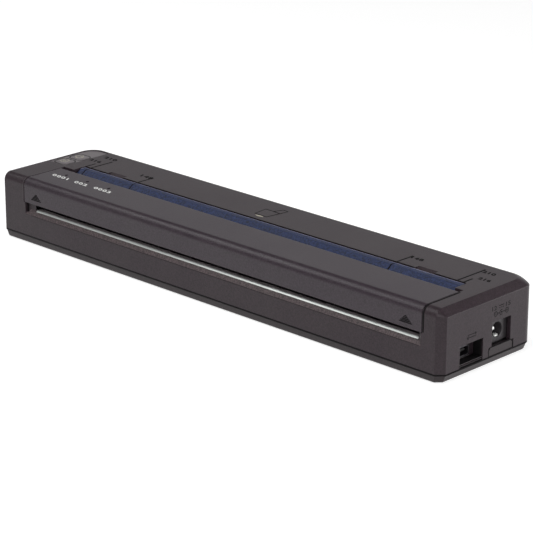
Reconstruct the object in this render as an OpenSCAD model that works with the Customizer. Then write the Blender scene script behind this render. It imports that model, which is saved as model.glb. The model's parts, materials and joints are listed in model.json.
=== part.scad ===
// Portable thermal page printer with a hinged release cover over its roller
// and a hinged battery door behind. Millimetres, +Z up, X along the body,
// front at -Y. The origin lies on the resting plane below the middle.

/* [Body] */
// Length over both ends
body_l = 255; // [250:1:270]
// Depth from the front face to the rear face
body_d = 55; // [52:0.5:60]
// Height from the resting plane to the top
body_h = 30; // [29:0.5:33]
// Bevel that runs round both ends
end_bevel = 3; // [2.5:0.25:3.5]
// Rounding of the two rear corners in plan
corner_r = 4.3; // [4:0.1:4.6]
// Rounding of the two rear corners at the top, above the bevel
corner_top_r = 6.4; // [6:0.1:6.8]
// Rounding of the front top edge
front_round = 3.5; // [3:0.25:4]
// Rounding of the rear top edge
rear_round = 3.1; // [2.6:0.1:3.2]
// Wall of the moulded cases and covers
wall = 1.8; // [1.6:0.1:2]
// Height of the lower tray
tray_h = 3.2; // [3:0.1:3.3]
// Dark groove between the tray and the upper case
groove = 0.5; // [0.3:0.1:0.6]
// How far the feet stand out of the tray
foot_drop = 0.5; // [0.3:0.1:0.6]

/* [Release cover] */
// Width of the left end cap beside the cover
left_cap = 16; // [16:0.5:17]
// Width of the right end cap beside the cover
right_cap = 9.5; // [9.5:0.25:10.5]
// Depth of the cover from the front face to the paper inlet
cover_d = 21.3; // [21:0.1:21.6]
// Gap round the cover and the battery door
seam = 0.35; // [0.25:0.05:0.45]
// Radius of the hinge pins
pin_r = 1; // [0.9:0.05:1.1]

/* [Paper path] */
// Height of the exit slot over the paper
slot_h = 2.8; // [2.5:0.1:3.2]
// Width of the paper inlet behind the cover
inlet_gap = 2.8; // [2.7:0.1:3]
// Depth of the inlet guide on the top
guide_d = 6.1; // [6:0.1:6.3]
// Depth of the flat crest of the inlet guide
crest_d = 2.4; // [2:0.1:2.8]
// Fall of the inlet ramp
ramp_drop = 2.8; // [2.4:0.1:3]
// Share of the roller's radius that is steel core
core_share = 0.6; // [0.52:0.02:0.68]
// Radius of the journals
journal_r = 2; // [1.8:0.1:2.1]

/* [Drive] */
// Teeth on the platen gear
platen_teeth = 22; // [21:1:22]
// Teeth on the small wheel of the idler
small_teeth = 12; // [12:1:13]
// Teeth on the large wheel of the idler
large_teeth = 28; // [27:1:28]
// Teeth on the motor pinion
pinion_teeth = 10; // [10:1:11]

/* [Battery] */
// Length of the contact block at the end of the battery
contact_l = 6.4; // [5.5:0.1:7]
// Space between the battery and the wall in front of it
battery_room = 1.3; // [1:0.1:1.5]

/* [Sockets] */
// Radius of the power jack's bore
jack_r = 3.15; // [2.75:0.05:3.4]
// Radius of the power jack's centre pin
jack_pin_r = 1; // [0.6:0.05:1.25]
// Depth of the recess round the data socket
usb_recess_d = 4.4; // [4:0.1:4.8]

/* [Hidden] */
$fn = 48;

// Overrun of every cut, and the bite of one shape into another
over = 1;
bite = 0.2;
// Clearances: running fit, fixed fit, sliding key, air beside a moving piece
run_gap = 0.05;
fix_gap = 0.02;
key_gap = 0.15;
air = 0.3;
clear = 0.1;
thin = 0.01;
round_steps = 14;
// Share of an inset that a bevel of 45 degrees loses where its wall stays even
bevel_inset_share = 0.6;

// Body planes
end_x = body_l / 2;
front_y = -body_d / 2;
rear_y = body_d / 2;
rim_z = foot_drop + tray_h;
case_z = rim_z + groove;
floor_z = foot_drop + wall;
skin_z = body_h - wall;
inner_x = end_x - wall;
inner_y = rear_y - wall;

// Tray
tray_inset = 0.3;
tray_taper = 0.4;
tray_edge = 0.4;
tray_end_lean = 0.6;
lip_t = 1.5;
lip_h = 1.5;
lip_gap = 0.15;
lip_z = rim_z + lip_h;

// Release cover and its hinge
cover_x0 = -end_x + left_cap;
cover_x1 = end_x - right_cap;
cover_y1 = front_y + cover_d;
paper_height_share = 0.55;
paper_z = body_h * paper_height_share;
cover_z0 = paper_z + slot_h;
hinge_back = 3.3;
hinge_down = 3.5;
hinge_y = cover_y1 - hinge_back;
hinge_z = body_h - hinge_down;
hinge_wall = 2;
hinge_rim = 0.8;
ear_r = 2.2;
ear_t = 1.6;
web_t = 1.2;
lens_from_end = 10.1;
lens_pitch = 13.8;
lens_back = 5.2;
lens_r = 0.8;
lens_sink = 0.5;
lens_flange_t = 1;
lens_xs = [for (i = [0:2]) cover_x0 + lens_from_end + i * lens_pitch];
lens_y = cover_y1 - lens_back;
rib_pitch = 31;
rib_t = 1.2;
cover_rib_d = 3.2;
cover_rib_up = 2.4;
cover_rib_in = 12;
cover_bar_d = 1;
cover_bar_h = 1.6;

// Exit slot, its scooped surround, the slit beside it and the ledge behind it
slot_in_l = 6.1;
slot_in_r = 2.8;
slot_x0 = cover_x0 + slot_in_l;
slot_x1 = cover_x1 - slot_in_r;
slot_drop = 0.3;
slot_z0 = paper_z - slot_drop;
scoop_edge_l = 0.7;
scoop_edge_r = 0.5;
scoop_slope = 2.2;
scoop_d = 1.6;
scoop_fall = 2.3;
slit_w = 1.5;
slit_d = 1.3;
slit_drop = 1.4;
ledge_t = 1.6;
ledge_rib_pitch = 13;
ledge_rib_t = 1;
ledge_rib_h = 0.4;
ledge_rib_in = 3;
bar_t = 0.4;
bar_lip_h = 0.9;
bar_lip_t = 0.6;
bar_d = 2.4;
bar_end_gap = 0.9;
arrow_w = 6.5;
arrow_h = 3.1;
arrow_d = 0.3;
arrow_from_l = 8.1;
arrow_from_r = 8.2;
arrow_up = 1.9;
arrow_rows = 5;
arrow_row_share = 0.7;

// Inlet guide
guide_in_l = 6.2;
guide_in_r = 4.5;
guide_x0 = cover_x0 + guide_in_l;
guide_x1 = cover_x1 - guide_in_r;
guide_y0 = cover_y1 + inlet_gap;
guide_y1 = guide_y0 + guide_d;
guide_sink = 0.2;
guide_z = body_h - guide_sink;
guide_t = 1.3;
crest_y0 = guide_y1 - crest_d;
ramp_z = guide_z - ramp_drop;
chute_r = 7.7;
chute_z = paper_z - slot_drop + clear + chute_r;
chute_y = guide_y0 - chute_r;
web_drop = 4;
web_z0 = chute_z - web_drop;
guide_rib_in = 5;
guide_foot_l = 3;
guide_gap = 0.5;
notch_d = 2.5;
notch_y = cover_y1 + notch_d;

// Rear top, battery bay and door
bay_wall = 1.4;
bay_over_lip = 0.4;
bay_in_l = 7.5;
bay_in_r = 5.8;
bay_y0 = guide_y1 + guide_gap;
bay_z0 = lip_z + bay_over_lip;
bay_x0 = cover_x0 + bay_in_l;
bay_x1 = cover_x1 - bay_in_r;
knuckle_l = 4;
knuckle_r = 1.5;
boss_l = 3.4;
boss_gap = 0.4;
boss_reach = 2.3;
door_pin_l = 2.6;
door_pin_r = 0.9;
door_edge = 1.9;
door_top_edge = 0.6;
door_axis_drop = 1.6;
door_x0 = bay_x0 + boss_l + seam + boss_gap;
door_x1 = bay_x1 - boss_l - seam - boss_gap;
door_z0 = case_z + door_edge;
door_z1 = body_h - rear_round - door_top_edge;
door_y = inner_y;
door_z = door_z1 - door_axis_drop;
door_sweep_r = norm([wall, door_axis_drop]) + bite;
door_rib_in = 12;
door_rib_low = 3;
door_rib_h = 11;
thumb_r = 7.5;
thumb_d = 1.5;
leaf_l = 2.4;
leaf_t = 1.4;
leaf_shares = [0.26, 0.46, 0.66];
leaf_in = 6;
contact_shares = [0.21, 0.74];
contact_in = 3;
battery_x0 = door_x0 + knuckle_l + air;
battery_x1 = bay_x1 - contact_l - leaf_l;
battery_y0 = bay_y0 + bay_wall + battery_room;
battery_y1 = inner_y - 2 * air;
battery_z0 = door_z0 - air;
battery_z1 = door_z - air;
battery_l = battery_x1 - battery_x0;
battery_d = battery_y1 - battery_y0;
battery_round = 3;
stop_shares = [0.11, 0.74];
stop_up = 1;
cradle_in = 4;
cradle_edge = 1;

// Platen roller
platen_depth_share = 0.54;
roof_gap = 1.7;
platen_y = front_y + cover_d * platen_depth_share;
platen_r = (skin_z - roof_gap - paper_z) / 2;
platen_z = paper_z + platen_r;
core_r = platen_r * core_share;
sheet_t = 1.2;
plate_over = 0.6;
plate_over_r = 0.4;
plate_x0 = slot_x0 - plate_over;
plate_x1 = slot_x1 + plate_over_r;
plate_in0 = plate_x0 + sheet_t;
plate_in1 = plate_x1 - sheet_t;
flange_t = 0.8;
bush_r = 3;
flange_r = 3.8;
rubber_gap = 0.4;
rubber_x0 = plate_in0 + flange_t + rubber_gap;
rubber_x1 = plate_in1 - flange_t - rubber_gap;
shaft_end = 0.6;
finger_d = 3;

// Key pad on the left end
pad_t = 0.5;
pad_sink = 0.35;
pad_d = 26.2;
pad_edge = 0.3;
pad_gap_r = 1.7;
pad_x0 = -end_x + end_bevel + pad_edge;
pad_x1 = cover_x0 - pad_gap_r;
pad_y1 = rear_y - rear_round - bite;
pad_y0 = pad_y1 - pad_d;
pad_round = 0.8;
key_side = 1.5;
key_w = pad_x1 - pad_x0 - 2 * key_side;
key_d = 6.6;
key_round = 2.4;
key_slope = 0.9;
key_sink = 0.05;
key_travel = 0.4;
key_x = (pad_x0 + pad_x1) / 2;
key_first = 4.8;
key_pitch = 8.9;
key_ys = [pad_y0 + key_first, pad_y0 + key_first + key_pitch];
key_flange = 0.6;
key_flange_t = 0.8;
key_flange_z1 = skin_z - air;
key_flange_z0 = key_flange_z1 - key_flange_t;
key_foot_z = key_flange_z0 - air;
switch_side = 4;
switch_top = key_foot_z - key_travel - run_gap;
switch_h = 2;
switch_button_h = 0.4;
key_board_t = 0.8;
key_board_edge = 1.2;
key_board_z = switch_top - switch_h - key_board_t;
key_post_r = 1.7;
key_post_front = 1.2;
key_post_back = 19.6;
key_post_share = 0.44;
key_posts = [[key_x, pad_y0 - key_post_front],
  [key_x + key_w * key_post_share, pad_y0 + key_post_back]];

// Gear train
gear_share = 0.1;
gear_m = platen_r * gear_share;
wheel_t = 1.9;
wheel_gap = 0.35;
wheel_off = 0.4;
pressure_angle = 20;
addendum_share = 0.88;
dedendum_share = 1.2;
backlash = 0.05;
inner_wheel_x1 = plate_x0 - wheel_off;
inner_wheel_x0 = inner_wheel_x1 - wheel_t;
outer_wheel_x1 = inner_wheel_x0 - wheel_gap;
outer_wheel_x0 = outer_wheel_x1 - wheel_t;
idler_angle = -38;
motor_angle = -18;
idler_reach = gear_m * (platen_teeth + small_teeth) / 2;
motor_reach = gear_m * (large_teeth + pinion_teeth) / 2;
idler_y = platen_y + idler_reach * cos(idler_angle);
idler_z = platen_z + idler_reach * sin(idler_angle);
motor_y = idler_y + motor_reach * cos(motor_angle);
motor_z = idler_z + motor_reach * sin(motor_angle);
stud_r = 1;
gear_plate_x1 = outer_wheel_x0 - wheel_gap;
gear_plate_x0 = gear_plate_x1 - sheet_t;
small_head_r = 1.6;
small_head_h = 0.8;
motor_lift = 2.03;
motor_end_gap = 2.1;
motor_top_gap = 0.4;
motor_r = min(motor_z - floor_z - motor_lift,
  key_board_z - small_head_h - motor_top_gap - motor_z);
motor_l = gear_plate_x0 + inner_x - motor_end_gap;
motor_boss_r = 3.5;
motor_shaft_r = 0.8;
motor_screw_r = 0.9;
motor_screw_l = 2.6;
motor_screw_share = 0.8;
motor_screw_reach = motor_r * motor_screw_share;
motor_screw_angles = [50, -30];

// Indicator board under the cover
lamp_h = 0.7;
lamp_side = 1.6;
lamp_d = 1.2;
lamp_board_t = 0.8;
lamp_board_z = skin_z - lens_flange_t - air - lamp_h - lamp_board_t;
lamp_board_front = 0.8;
lamp_board_d = 3.6;
lamp_board_end = 4;
lamp_board_y0 = lens_y - lamp_board_front;
lamp_board_y1 = lamp_board_y0 + lamp_board_d;
lamp_board_x1 = lens_xs[2] + lamp_board_end;
lamp_shelf_l = 5;
lamp_shelf_front = 1;

// Chassis
chassis_z = 7.2;
chassis_top = chassis_z + sheet_t;
chassis_front = 4;
chassis_back = 12;
chassis_y0 = platen_y - chassis_front;
chassis_y1 = platen_y + chassis_back;
ledge_back = 1.4;
ledge_y1 = chassis_y0 - ledge_back;
plate_top = lamp_board_z - sheet_t;
plate_low_h = 9;
plate_cheek = 2.2;
bridge_d = 3;
gear_plate_y1 = motor_y + motor_r;
gear_plate_z1 = motor_z + motor_r + air;
post_r = 2.6;
chassis_post_in_l = 11;
chassis_post_in_r = 10.5;
chassis_post_front = 0.5;
chassis_post_back = 9;
chassis_post_xs = [plate_x0 + chassis_post_in_l, plate_x1 - chassis_post_in_r];
chassis_post_ys = [platen_y - chassis_post_front, platen_y + chassis_post_back];

// Print head
head_gap = 0.1;
strip_t = 1;
strip_front = 4;
strip_back = 4.4;
strip_in = 1.6;
strip_z = paper_z - head_gap - strip_t;
strip_y0 = platen_y - strip_front;
strip_y1 = platen_y + strip_back;
driver_w = 1.2;
driver_h = 0.5;
driver_in = 6;
sink_t = 1.95;
sink_z = strip_z - sink_t;
sink_y0 = chassis_y0;
sink_back = 6.5;
sink_y1 = platen_y + sink_back;
sink_step_y = strip_y1 + bite;
sink_step = 0.8;
sink_in = 1.4;
sink_pocket = 0.5;
sink_rim = 1.5;
pivot_back = 8.6;
pivot_y = platen_y + pivot_back;
pivot_z = sink_z - bite;
pivot_ear_r = 2;
pivot_ear_l = 5;
pivot_web_drop = 0.6;
spring_shares = [-0.3, 0.03, 0.36];
spring_xs = [for (share = spring_shares) share * (plate_in1 - plate_in0)];
spring_r = 1.9;
spring_wire_r = 0.25;
spring_h = sink_z + sink_pocket - chassis_top;
spring_pitch = 1.1;
spring_turns = max(floor(spring_h / spring_pitch), 2);
spring_steps = 14;
spring_sides = 6;
cable_w = 40;
cable_t = 0.2;
cable_back = 3;
cable_y = platen_y + cable_back;
connector_h = 0.9;
connector_d = 2.2;
connector_end = 1;
cable_slot_front = 0.7;
cable_slot_back = 0.9;

// Main board
board_z = 4.8;
board_t = 1.2;
board_top = board_z + board_t;
board_front = 9.3;
board_back = 1.4;
board_in_l = 46;
board_in_r = 6;
board_y0 = front_y + board_front;
board_y1 = bay_y0 - board_back;
board_x0 = plate_x0 + board_in_l;
board_x1 = end_x - board_in_r;
board_l = board_x1 - board_x0;
cable_in = 29.4;
cable_x = board_x0 + cable_in;
board_ear_gap = 0.4;
board_ear_lap = 2;
ear_x0 = bay_x1 + bay_wall + board_ear_gap;
ear_x1 = inner_x - lip_gap - lip_t - air;
board_post_r = 2.2;
board_screw_r = 0.9;
board_screw_end = 0.4;
board_post_in_x = 4;
board_post_in_y = 3.2;
board_post_share = 0.637;
board_posts = [for (x = [board_x0 + board_post_in_x, board_x0 + board_l * board_post_share],
  y = [board_y0 + board_post_in_y, board_y1 - board_post_in_y]) [x, y]];
chip_l = 9;
chip_d = 8;
chip_h = 0.8;
chip_in = 4;
chip_first = 8.2;
chip_gap = 6.8;
chip_pitch = 14;
chip_last_share = 0.78;
chip_xs = [board_x0 + chip_first, cable_x + cable_w + chip_gap,
  cable_x + cable_w + chip_gap + chip_pitch, board_x0 + board_l * chip_last_share];
capacitor_r = 1.6;
capacitor_h = 2;
capacitor_in = 3;
capacitor_shares = [0.2, 0.5, 0.75];

// Case screws: the four corners, then two at the front ledge
screw_r = 1.1;
screw_head_r = 2;
screw_head_h = 1.4;
screw_sink = 2.1;
screw_grip = 5;
screw_stop = 4;
screw_web = 0.5;
drive_w_share = 1.2;
drive_t_share = 0.25;
drive_d_share = 0.8;
chassis_screw_rise = 1;
chassis_screw_end = 0.6;
upper_post_r = 2.2;
lower_post_r = 2.9;
meet_rise = 0.8;
meet_z = lip_z + meet_rise;
corner_in_l = 7;
corner_in_r = 6;
corner_y_share = 0.373;
corner_front_share = 0.391;
ledge_post_gap = 1;
ledge_post_r = 2;
ledge_post_y = ledge_y1 - ledge_post_gap;
corner_posts = [[-end_x + corner_in_l, -body_d * corner_y_share],
  [-end_x + corner_in_l, body_d * corner_y_share],
  [end_x - corner_in_r, -body_d * corner_front_share],
  [end_x - corner_in_r, body_d * corner_y_share]];
ledge_shares = [-0.16, 0.2];
ledge_posts = [for (share = ledge_shares) [body_l * share, ledge_post_y]];

// Feet
foot_r = 4;
foot_recess = 0.5;
foot_in_x = 17;
foot_in_y = 8.5;
feet_xy = [for (x = [-end_x + foot_in_x, end_x - foot_in_x],
  y = [front_y + foot_in_y, rear_y - foot_in_y]) [x, y]];

// Recesses in the right end
usb_y_share = -0.3;
usb_recess_share = 0.249;
usb_up = 8.9;
usb_y0 = body_d * usb_y_share;
usb_y1 = usb_y0 + body_d * usb_recess_share;
usb_top = case_z + usb_up;
usb_y = (usb_y0 + usb_y1) / 2;
usb_w = 8;
usb_h = 4.2;
usb_round = 1;
usb_z = board_top + usb_h / 2;
usb_wall = 0.4;
usb_x1 = end_x - usb_recess_d - clear;
usb_gap = 0.4;
usb_x0 = plate_x1 + usb_gap;
tongue_w = 4.8;
tongue_t = 0.8;
tongue_drop = 0.2;
tongue_back = 1.6;
pocket_t = 1;
jack_y_share = 0.0455;
jack_w_share = 0.2055;
jack_bore_share = 0.487;
jack_up = 13.6;
jack_up_low = 3.4;
jack_bore_up = 5.3;
jack_sink = 2.2;
jack_y0 = body_d * jack_y_share;
jack_y1 = jack_y0 + body_d * jack_w_share;
jack_top = case_z + jack_up;
jack_low = case_z + jack_up_low;
jack_y = jack_y0 + (jack_y1 - jack_y0) * jack_bore_share;
jack_z = jack_low + jack_bore_up;
jack_face_x = end_x - jack_sink;
jack_back = 0.7;
jack_x0 = bay_x1 + bay_wall + jack_back;
jack_l = jack_face_x - jack_x0;
jack_depth_share = 0.8;
jack_bore_l = jack_l * jack_depth_share;
jack_pin_set = 1.4;
jack_leaf_share = 0.35;
jack_leaf_t = 0.35;
jack_leaf_set = 0.8;
tab_front = 1.6;
tab_back = 1.8;
tab_y0 = jack_y0 - tab_front;
tab_y1 = jack_y1 + tab_back;
tab_round = 1.4;
tab_gap = 0.2;

// Paper sensor under the inlet guide
sensor_bay = 2.5;
sensor_l = 5;
sensor_t = 1.6;
sensor_h = 2.8;
sensor_window = 4;
sensor_window_h = 2;
sensor_drop = 2.5;
sensor_low = 0.8;
sensor_x = guide_x0 + guide_rib_in + sensor_bay * rib_pitch;
sensor_z = ramp_z - sensor_drop;

// Marks on the rear top: guide lines and finger hollows
mark_w = 0.4;
mark_d = 0.25;
mark_in = [0, 3.3, 34];
mark_in_r = [35.4, 4.5, 1.4];
mark_l = [6, 13, 8.7, 10, 17.3, 5.6];
mark_xs = concat([for (d = mark_in) guide_x0 + d], [for (d = mark_in_r) guide_x1 - d]);
crossing_marks = [mark_xs[1], mark_xs[2], mark_xs[3]];
hollow_l = 10;
hollow_w = 2.6;
hollow_d = 0.8;
hollow_in_l = 14.5;
hollow_in_r = 26;
hollow_xs = [guide_x0 + hollow_in_l, guide_x1 - hollow_in_r];

// Shared shapes
module block(x0, x1, y0, y1, z0, z1)
  translate([x0, y0, z0]) cube([x1 - x0, y1 - y0, z1 - z0]);

module rod_x(x0, x1, y, z, r)
  translate([x0, y, z]) rotate([90, 0, 90]) cylinder(r = r, h = x1 - x0);

module post(xy, z0, z1, r)
  translate([xy[0], xy[1], z0]) cylinder(r = r, h = z1 - z0);

// A flat shape in the YZ plane drawn out along X
module along_x(x0, x1)
  translate([x0, 0, 0]) rotate([90, 0, 90]) linear_extrude(x1 - x0) children();

// Points on a quarter circle
function quarter(cx, cy, r, from) = [for (i = [0:round_steps])
  let (a = from + i * 90 / round_steps) [cx + r * cos(a), cy + r * sin(a)]];

// Front half of the body's side outline, drawn in by an inset
module front_outline(inset, low) {
  r = max(front_round - inset, wall / 4);
  polygon(concat([[front_y + inset, low], [0, low], [0, body_h - inset]],
    quarter(front_y + inset + r, body_h - inset - r, r, 90)));
}

// Side outline of the whole body drawn in by an inset, open to a low edge
module side_outline(inset, low) {
  r = max(rear_round - inset, wall / 4);
  front_outline(inset, low);
  polygon(concat([[-bite, low], [rear_y - inset, low]],
    quarter(rear_y - inset - r, body_h - inset - r, r, 0), [[-bite, body_h - inset]]));
}

// One rounded rear corner with its bevel, as a stack of discs
module rear_corner(side, inset, bevel, low) {
  fall = max(rear_round - inset, wall / 4);
  r = corner_r - inset;
  x = end_x - inset;
  y = rear_y - inset;
  top = body_h - inset;
  translate([side * (x - r), y - r, low])
    cylinder(r = r, h = top - max(bevel, fall) - low);
  for (p = quarter(-fall, -fall, fall, 0))
    let (lean = max(bevel + p[1], 0), wide = r + (corner_top_r - corner_r) * lean / bevel)
    translate([side * (x - lean - wide), y + p[0] - wide, top + p[1] - thin])
      cylinder(r = wide, h = thin);
}

// The whole body inside an even inset, with its bevels round both ends
module body_form(inset, low) {
  bevel = end_bevel - inset * bevel_inset_share;
  hull() {
    along_x(-end_x + inset + bevel, end_x - inset - bevel) front_outline(inset, low);
    along_x(-end_x + inset, end_x - inset) front_outline(inset + bevel, low);
    for (side = [-1, 1]) rear_corner(side, inset, bevel, low);
  }
}

// A rectangle with round corners, all of its curves true
module round_rect(x0, x1, y0, y1, r) {
  translate([x0 + r, y0]) square([x1 - x0 - 2 * r, y1 - y0]);
  translate([x0, y0 + r]) square([x1 - x0, y1 - y0 - 2 * r]);
  for (x = [x0 + r, x1 - r], y = [y0 + r, y1 - r]) translate([x, y]) circle(r = r);
}

// Plan outline of the tray at an inset, bevelled in front and round behind,
// with its ends drawn in further by a lean
module tray_outline(inset, z0, z1, lean = 0) {
  x = end_x - inset - lean;
  y = rear_y - inset;
  c = end_bevel - inset * bevel_inset_share;
  r = corner_r - inset;
  translate([0, 0, z0]) linear_extrude(z1 - z0)
    polygon(concat([[-x, -y + c], [-x + c, -y], [x - c, -y], [x, -y + c]],
      quarter(x - r, y - r, r, 0), quarter(-x + r, y - r, r, 90)));
}

// Involute gear outline; a tooth points along turn
function roll(base_r, r) = r <= base_r ? 0
  : tan(acos(base_r / r)) * 180 / PI - acos(base_r / r);
function tooth_half(teeth, r) = 90 / teeth - backlash / (PI * gear_m) * 180 / teeth
  + roll(gear_m * teeth / 2 * cos(pressure_angle), gear_m * teeth / 2)
  - roll(gear_m * teeth / 2 * cos(pressure_angle), r);
module gear_outline(teeth, turn) {
  pitch_r = gear_m * teeth / 2;
  root_r = pitch_r - dedendum_share * gear_m;
  tip_r = pitch_r + addendum_share * gear_m;
  polygon([for (i = [0:teeth - 1], side = [-1, 1], step = [0:3])
    let (rise = side < 0 ? step / 3 : 1 - step / 3,
      r = root_r + rise * (tip_r - root_r),
      a = turn + i * 360 / teeth + side * tooth_half(teeth, r))
    r * [cos(a), sin(a)]]);
}
module wheel(x0, x1, y, z, teeth, turn, bore_r)
  translate([0, y, z]) difference() {
    along_x(x0, x1) gear_outline(teeth, turn);
    rod_x(x0 - over, x1 + over, 0, 0, bore_r);
  }

// A coil spring along Z as one swept tube
function coil_point(i, h) = let (a = 360 * i / spring_steps)
  [spring_r * cos(a), spring_r * sin(a),
    spring_wire_r + (h - 2 * spring_wire_r) * i / (spring_turns * spring_steps)];
module coil(h) {
  last = spring_turns * spring_steps;
  rings = [for (i = [0:last], k = [0:spring_sides - 1])
    let (a = 360 * i / spring_steps, b = 360 * k / spring_sides)
    coil_point(i, h) + spring_wire_r * [cos(a) * cos(b), sin(a) * cos(b), sin(b)]];
  sides = [for (i = [0:last - 1], k = [0:spring_sides - 1])
    let (n = (k + 1) % spring_sides, p = i * spring_sides, q = p + spring_sides)
    [p + k, p + n, q + n, q + k]];
  first_cap = [for (k = [spring_sides - 1:-1:0]) k];
  last_cap = [for (k = [0:spring_sides - 1]) last * spring_sides + k];
  polyhedron(points = rings, faces = concat(sides, [first_cap, last_cap]), convexity = 8);
}

// A round screw head with a cross recess, open at z
module screw_head(xy, z0, z1, open_z, r) {
  difference() {
    post(xy, z0, z1, r);
    for (turn = [0, 90]) translate([xy[0], xy[1], open_z]) rotate(turn)
      cube([r * drive_w_share, r * drive_t_share, (z1 - z0) * drive_d_share], center = true);
  }
}
module screw_up(xy, head_z, head_r, head_h, shank_r, tip_z) {
  screw_head(xy, head_z, head_z + head_h, head_z, head_r);
  post(xy, head_z + head_h, tip_z, shank_r);
}
module screw_down(xy, head_z, head_r, head_h, shank_r, tip_z) {
  screw_head(xy, head_z - head_h, head_z, head_z, head_r);
  post(xy, tip_z, head_z - head_h, shank_r);
}

// Upper case
module scoop_cut() {
  x0 = cover_x0 + scoop_edge_l;
  x1 = cover_x1 - scoop_edge_r;
  hull() {
    block(x0, x1, front_y - over, front_y, slot_z0 - scoop_fall, cover_z0);
    block(x0 + scoop_slope, x1 - scoop_slope, front_y, front_y + scoop_d, slot_z0, cover_z0);
  }
  block(x0, x0 + slit_w, front_y - over, front_y + slit_d, slot_z0 - slit_drop, cover_z0);
}
module right_end_pockets() {
  x0 = end_x - usb_recess_d - pocket_t;
  side = usb_w / 2 + key_gap;
  difference() {
    block(x0, inner_x + bite, usb_y0 - pocket_t, usb_y1 + pocket_t, bay_z0, usb_top + pocket_t);
    block(x0 + pocket_t, end_x + over, usb_y0, usb_y1, bay_z0 - over, usb_top);
    block(x0 - over, end_x, usb_y - side, usb_y + side,
      bay_z0 - over, usb_z + usb_h / 2 + key_gap);
  }
}
module hinge_walls() {
  reach = ear_r + hinge_rim;
  for (x = [cover_x0 - hinge_wall, cover_x1])
    block(x, x + hinge_wall, hinge_y - reach, hinge_y + reach, hinge_z - reach, skin_z + bite);
}
module bay() {
  roof = skin_z + bite;
  boss = boss_l + boss_gap + bite;
  block(bay_x0 - bay_wall, bay_x1 + bay_wall, bay_y0, bay_y0 + bay_wall, bay_z0, roof);
  for (x = [bay_x0 - bay_wall, bay_x1])
    block(x, x + bay_wall, bay_y0, inner_y + bite, bay_z0, roof);
  for (x = [bay_x0 - bite, bay_x1 + bite - boss])
    block(x, x + boss, door_y - boss_reach, inner_y + bite, door_z - boss_reach, roof);
  for (share = stop_shares)
    let (y = battery_y0 + battery_d * share)
    block(bay_x0 - bite, battery_x0 - air, y, y + rib_t, battery_z0 + stop_up, roof);
}
module ledge() {
  block(slot_x0 - rib_t, slot_x1 + rib_t, front_y + wall - bite, ledge_y1,
    slot_z0 - ledge_t, slot_z0);
  first = slot_x0 + ledge_rib_in;
  count = floor((slot_x1 - ledge_rib_in - first) / ledge_rib_pitch);
  for (i = [0:count])
    let (x = first + i * ledge_rib_pitch)
    block(x, x + ledge_rib_t, front_y + wall + bar_d + clear, ledge_y1,
      slot_z0 - bite, slot_z0 + ledge_rib_h);
}
module key_plan(y, grow)
  round_rect(key_x - key_w / 2 - grow, key_x + key_w / 2 + grow,
    y - key_d / 2 - grow, y + key_d / 2 + grow, key_round + grow);
module key_block(y, grow, z0, z1)
  translate([0, 0, z0]) linear_extrude(z1 - z0) key_plan(y, grow);
module pad_plan(grow) {
  x0 = pad_x0 - grow;
  x1 = pad_x1 + grow;
  y0 = pad_y0 - grow;
  y1 = pad_y1 + grow;
  r = corner_top_r - pad_edge + grow;
  s = pad_round;
  polygon(concat(quarter(x1 - s, y1 - s, s, 0), quarter(x0 + r, y1 - r, r, 90),
    quarter(x0 + s, y0 + s, s, 180), quarter(x1 - s, y0 + s, s, 270)));
}
module line_cuts() {
  for (i = [0:len(mark_xs) - 1])
    let (x = mark_xs[i])
    block(x - mark_w / 2, x + mark_w / 2, bay_y0 - over, bay_y0 + mark_l[i],
      body_h - mark_d, body_h + over);
  for (x = hollow_xs) hull() {
    block(x, x + hollow_l, bay_y0 - over, bay_y0 + hollow_w, body_h, body_h + over);
    block(x, x + hollow_l, bay_y0 - over, bay_y0 + hollow_w / 2, body_h - hollow_d, body_h);
  }
}
module upper_case() {
  color([0.26, 0.25, 0.27]) difference() {
    union() {
      difference() {
        body_form(0, case_z);
        body_form(wall, case_z - over);
      }
      hinge_walls();
      bay();
      ledge();
      right_end_pockets();
      for (xy = corner_posts) post(xy, meet_z, skin_z + bite, upper_post_r);
      for (xy = ledge_posts) post(xy, meet_z, slot_z0 - ledge_t + bite, ledge_post_r);
      for (xy = key_posts) post(xy, key_board_z + key_board_t, skin_z + bite, key_post_r);
    }
    block(cover_x0, cover_x1, front_y - over, notch_y, cover_z0 - seam, body_h + over);
    block(guide_x0 - air, guide_x1 + air, notch_y - over, bay_y0, skin_z - over, body_h + over);
    block(slot_x0, slot_x1, front_y - over, front_y + wall + over, slot_z0, cover_z0);
    scoop_cut();
    for (x = [cover_x0, cover_x1])
      rod_x(x - hinge_wall - over, x + hinge_wall + over, hinge_y, hinge_z, pin_r + run_gap);
    block(door_x0 - seam, door_x1 + seam, inner_y - over, rear_y + over,
      door_z0 - seam, door_z1 + seam);
    rod_x(door_x0 - seam, door_x1 + seam, door_y, door_z, door_sweep_r);
    rod_x(door_x0 - seam - boss_l + air, door_x1 + seam + boss_l - air,
      door_y, door_z, door_pin_r + run_gap);
    block(end_x - usb_recess_d, end_x + over, usb_y0, usb_y1, case_z - over, usb_top);
    block(inner_x - over, end_x + over, jack_y0, jack_y1, jack_low, jack_top);
    block(inner_x - over, end_x + over, tab_y0 - tab_gap, tab_y1 + tab_gap,
      case_z - over, jack_low + tab_gap);
    translate([0, 0, body_h - pad_sink - pad_t]) linear_extrude(over) pad_plan(fix_gap);
    for (y = key_ys) key_block(y, key_gap, skin_z - over, body_h + over);
    for (xy = corner_posts) post(xy, meet_z - over, skin_z - screw_stop, screw_r + fix_gap);
    for (xy = ledge_posts) post(xy, meet_z - over, slot_z0 - ledge_t, screw_r + fix_gap);
    for (xy = key_posts) post(xy, key_board_z, skin_z - screw_web, board_screw_r + fix_gap);
    line_cuts();
  }
}

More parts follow.
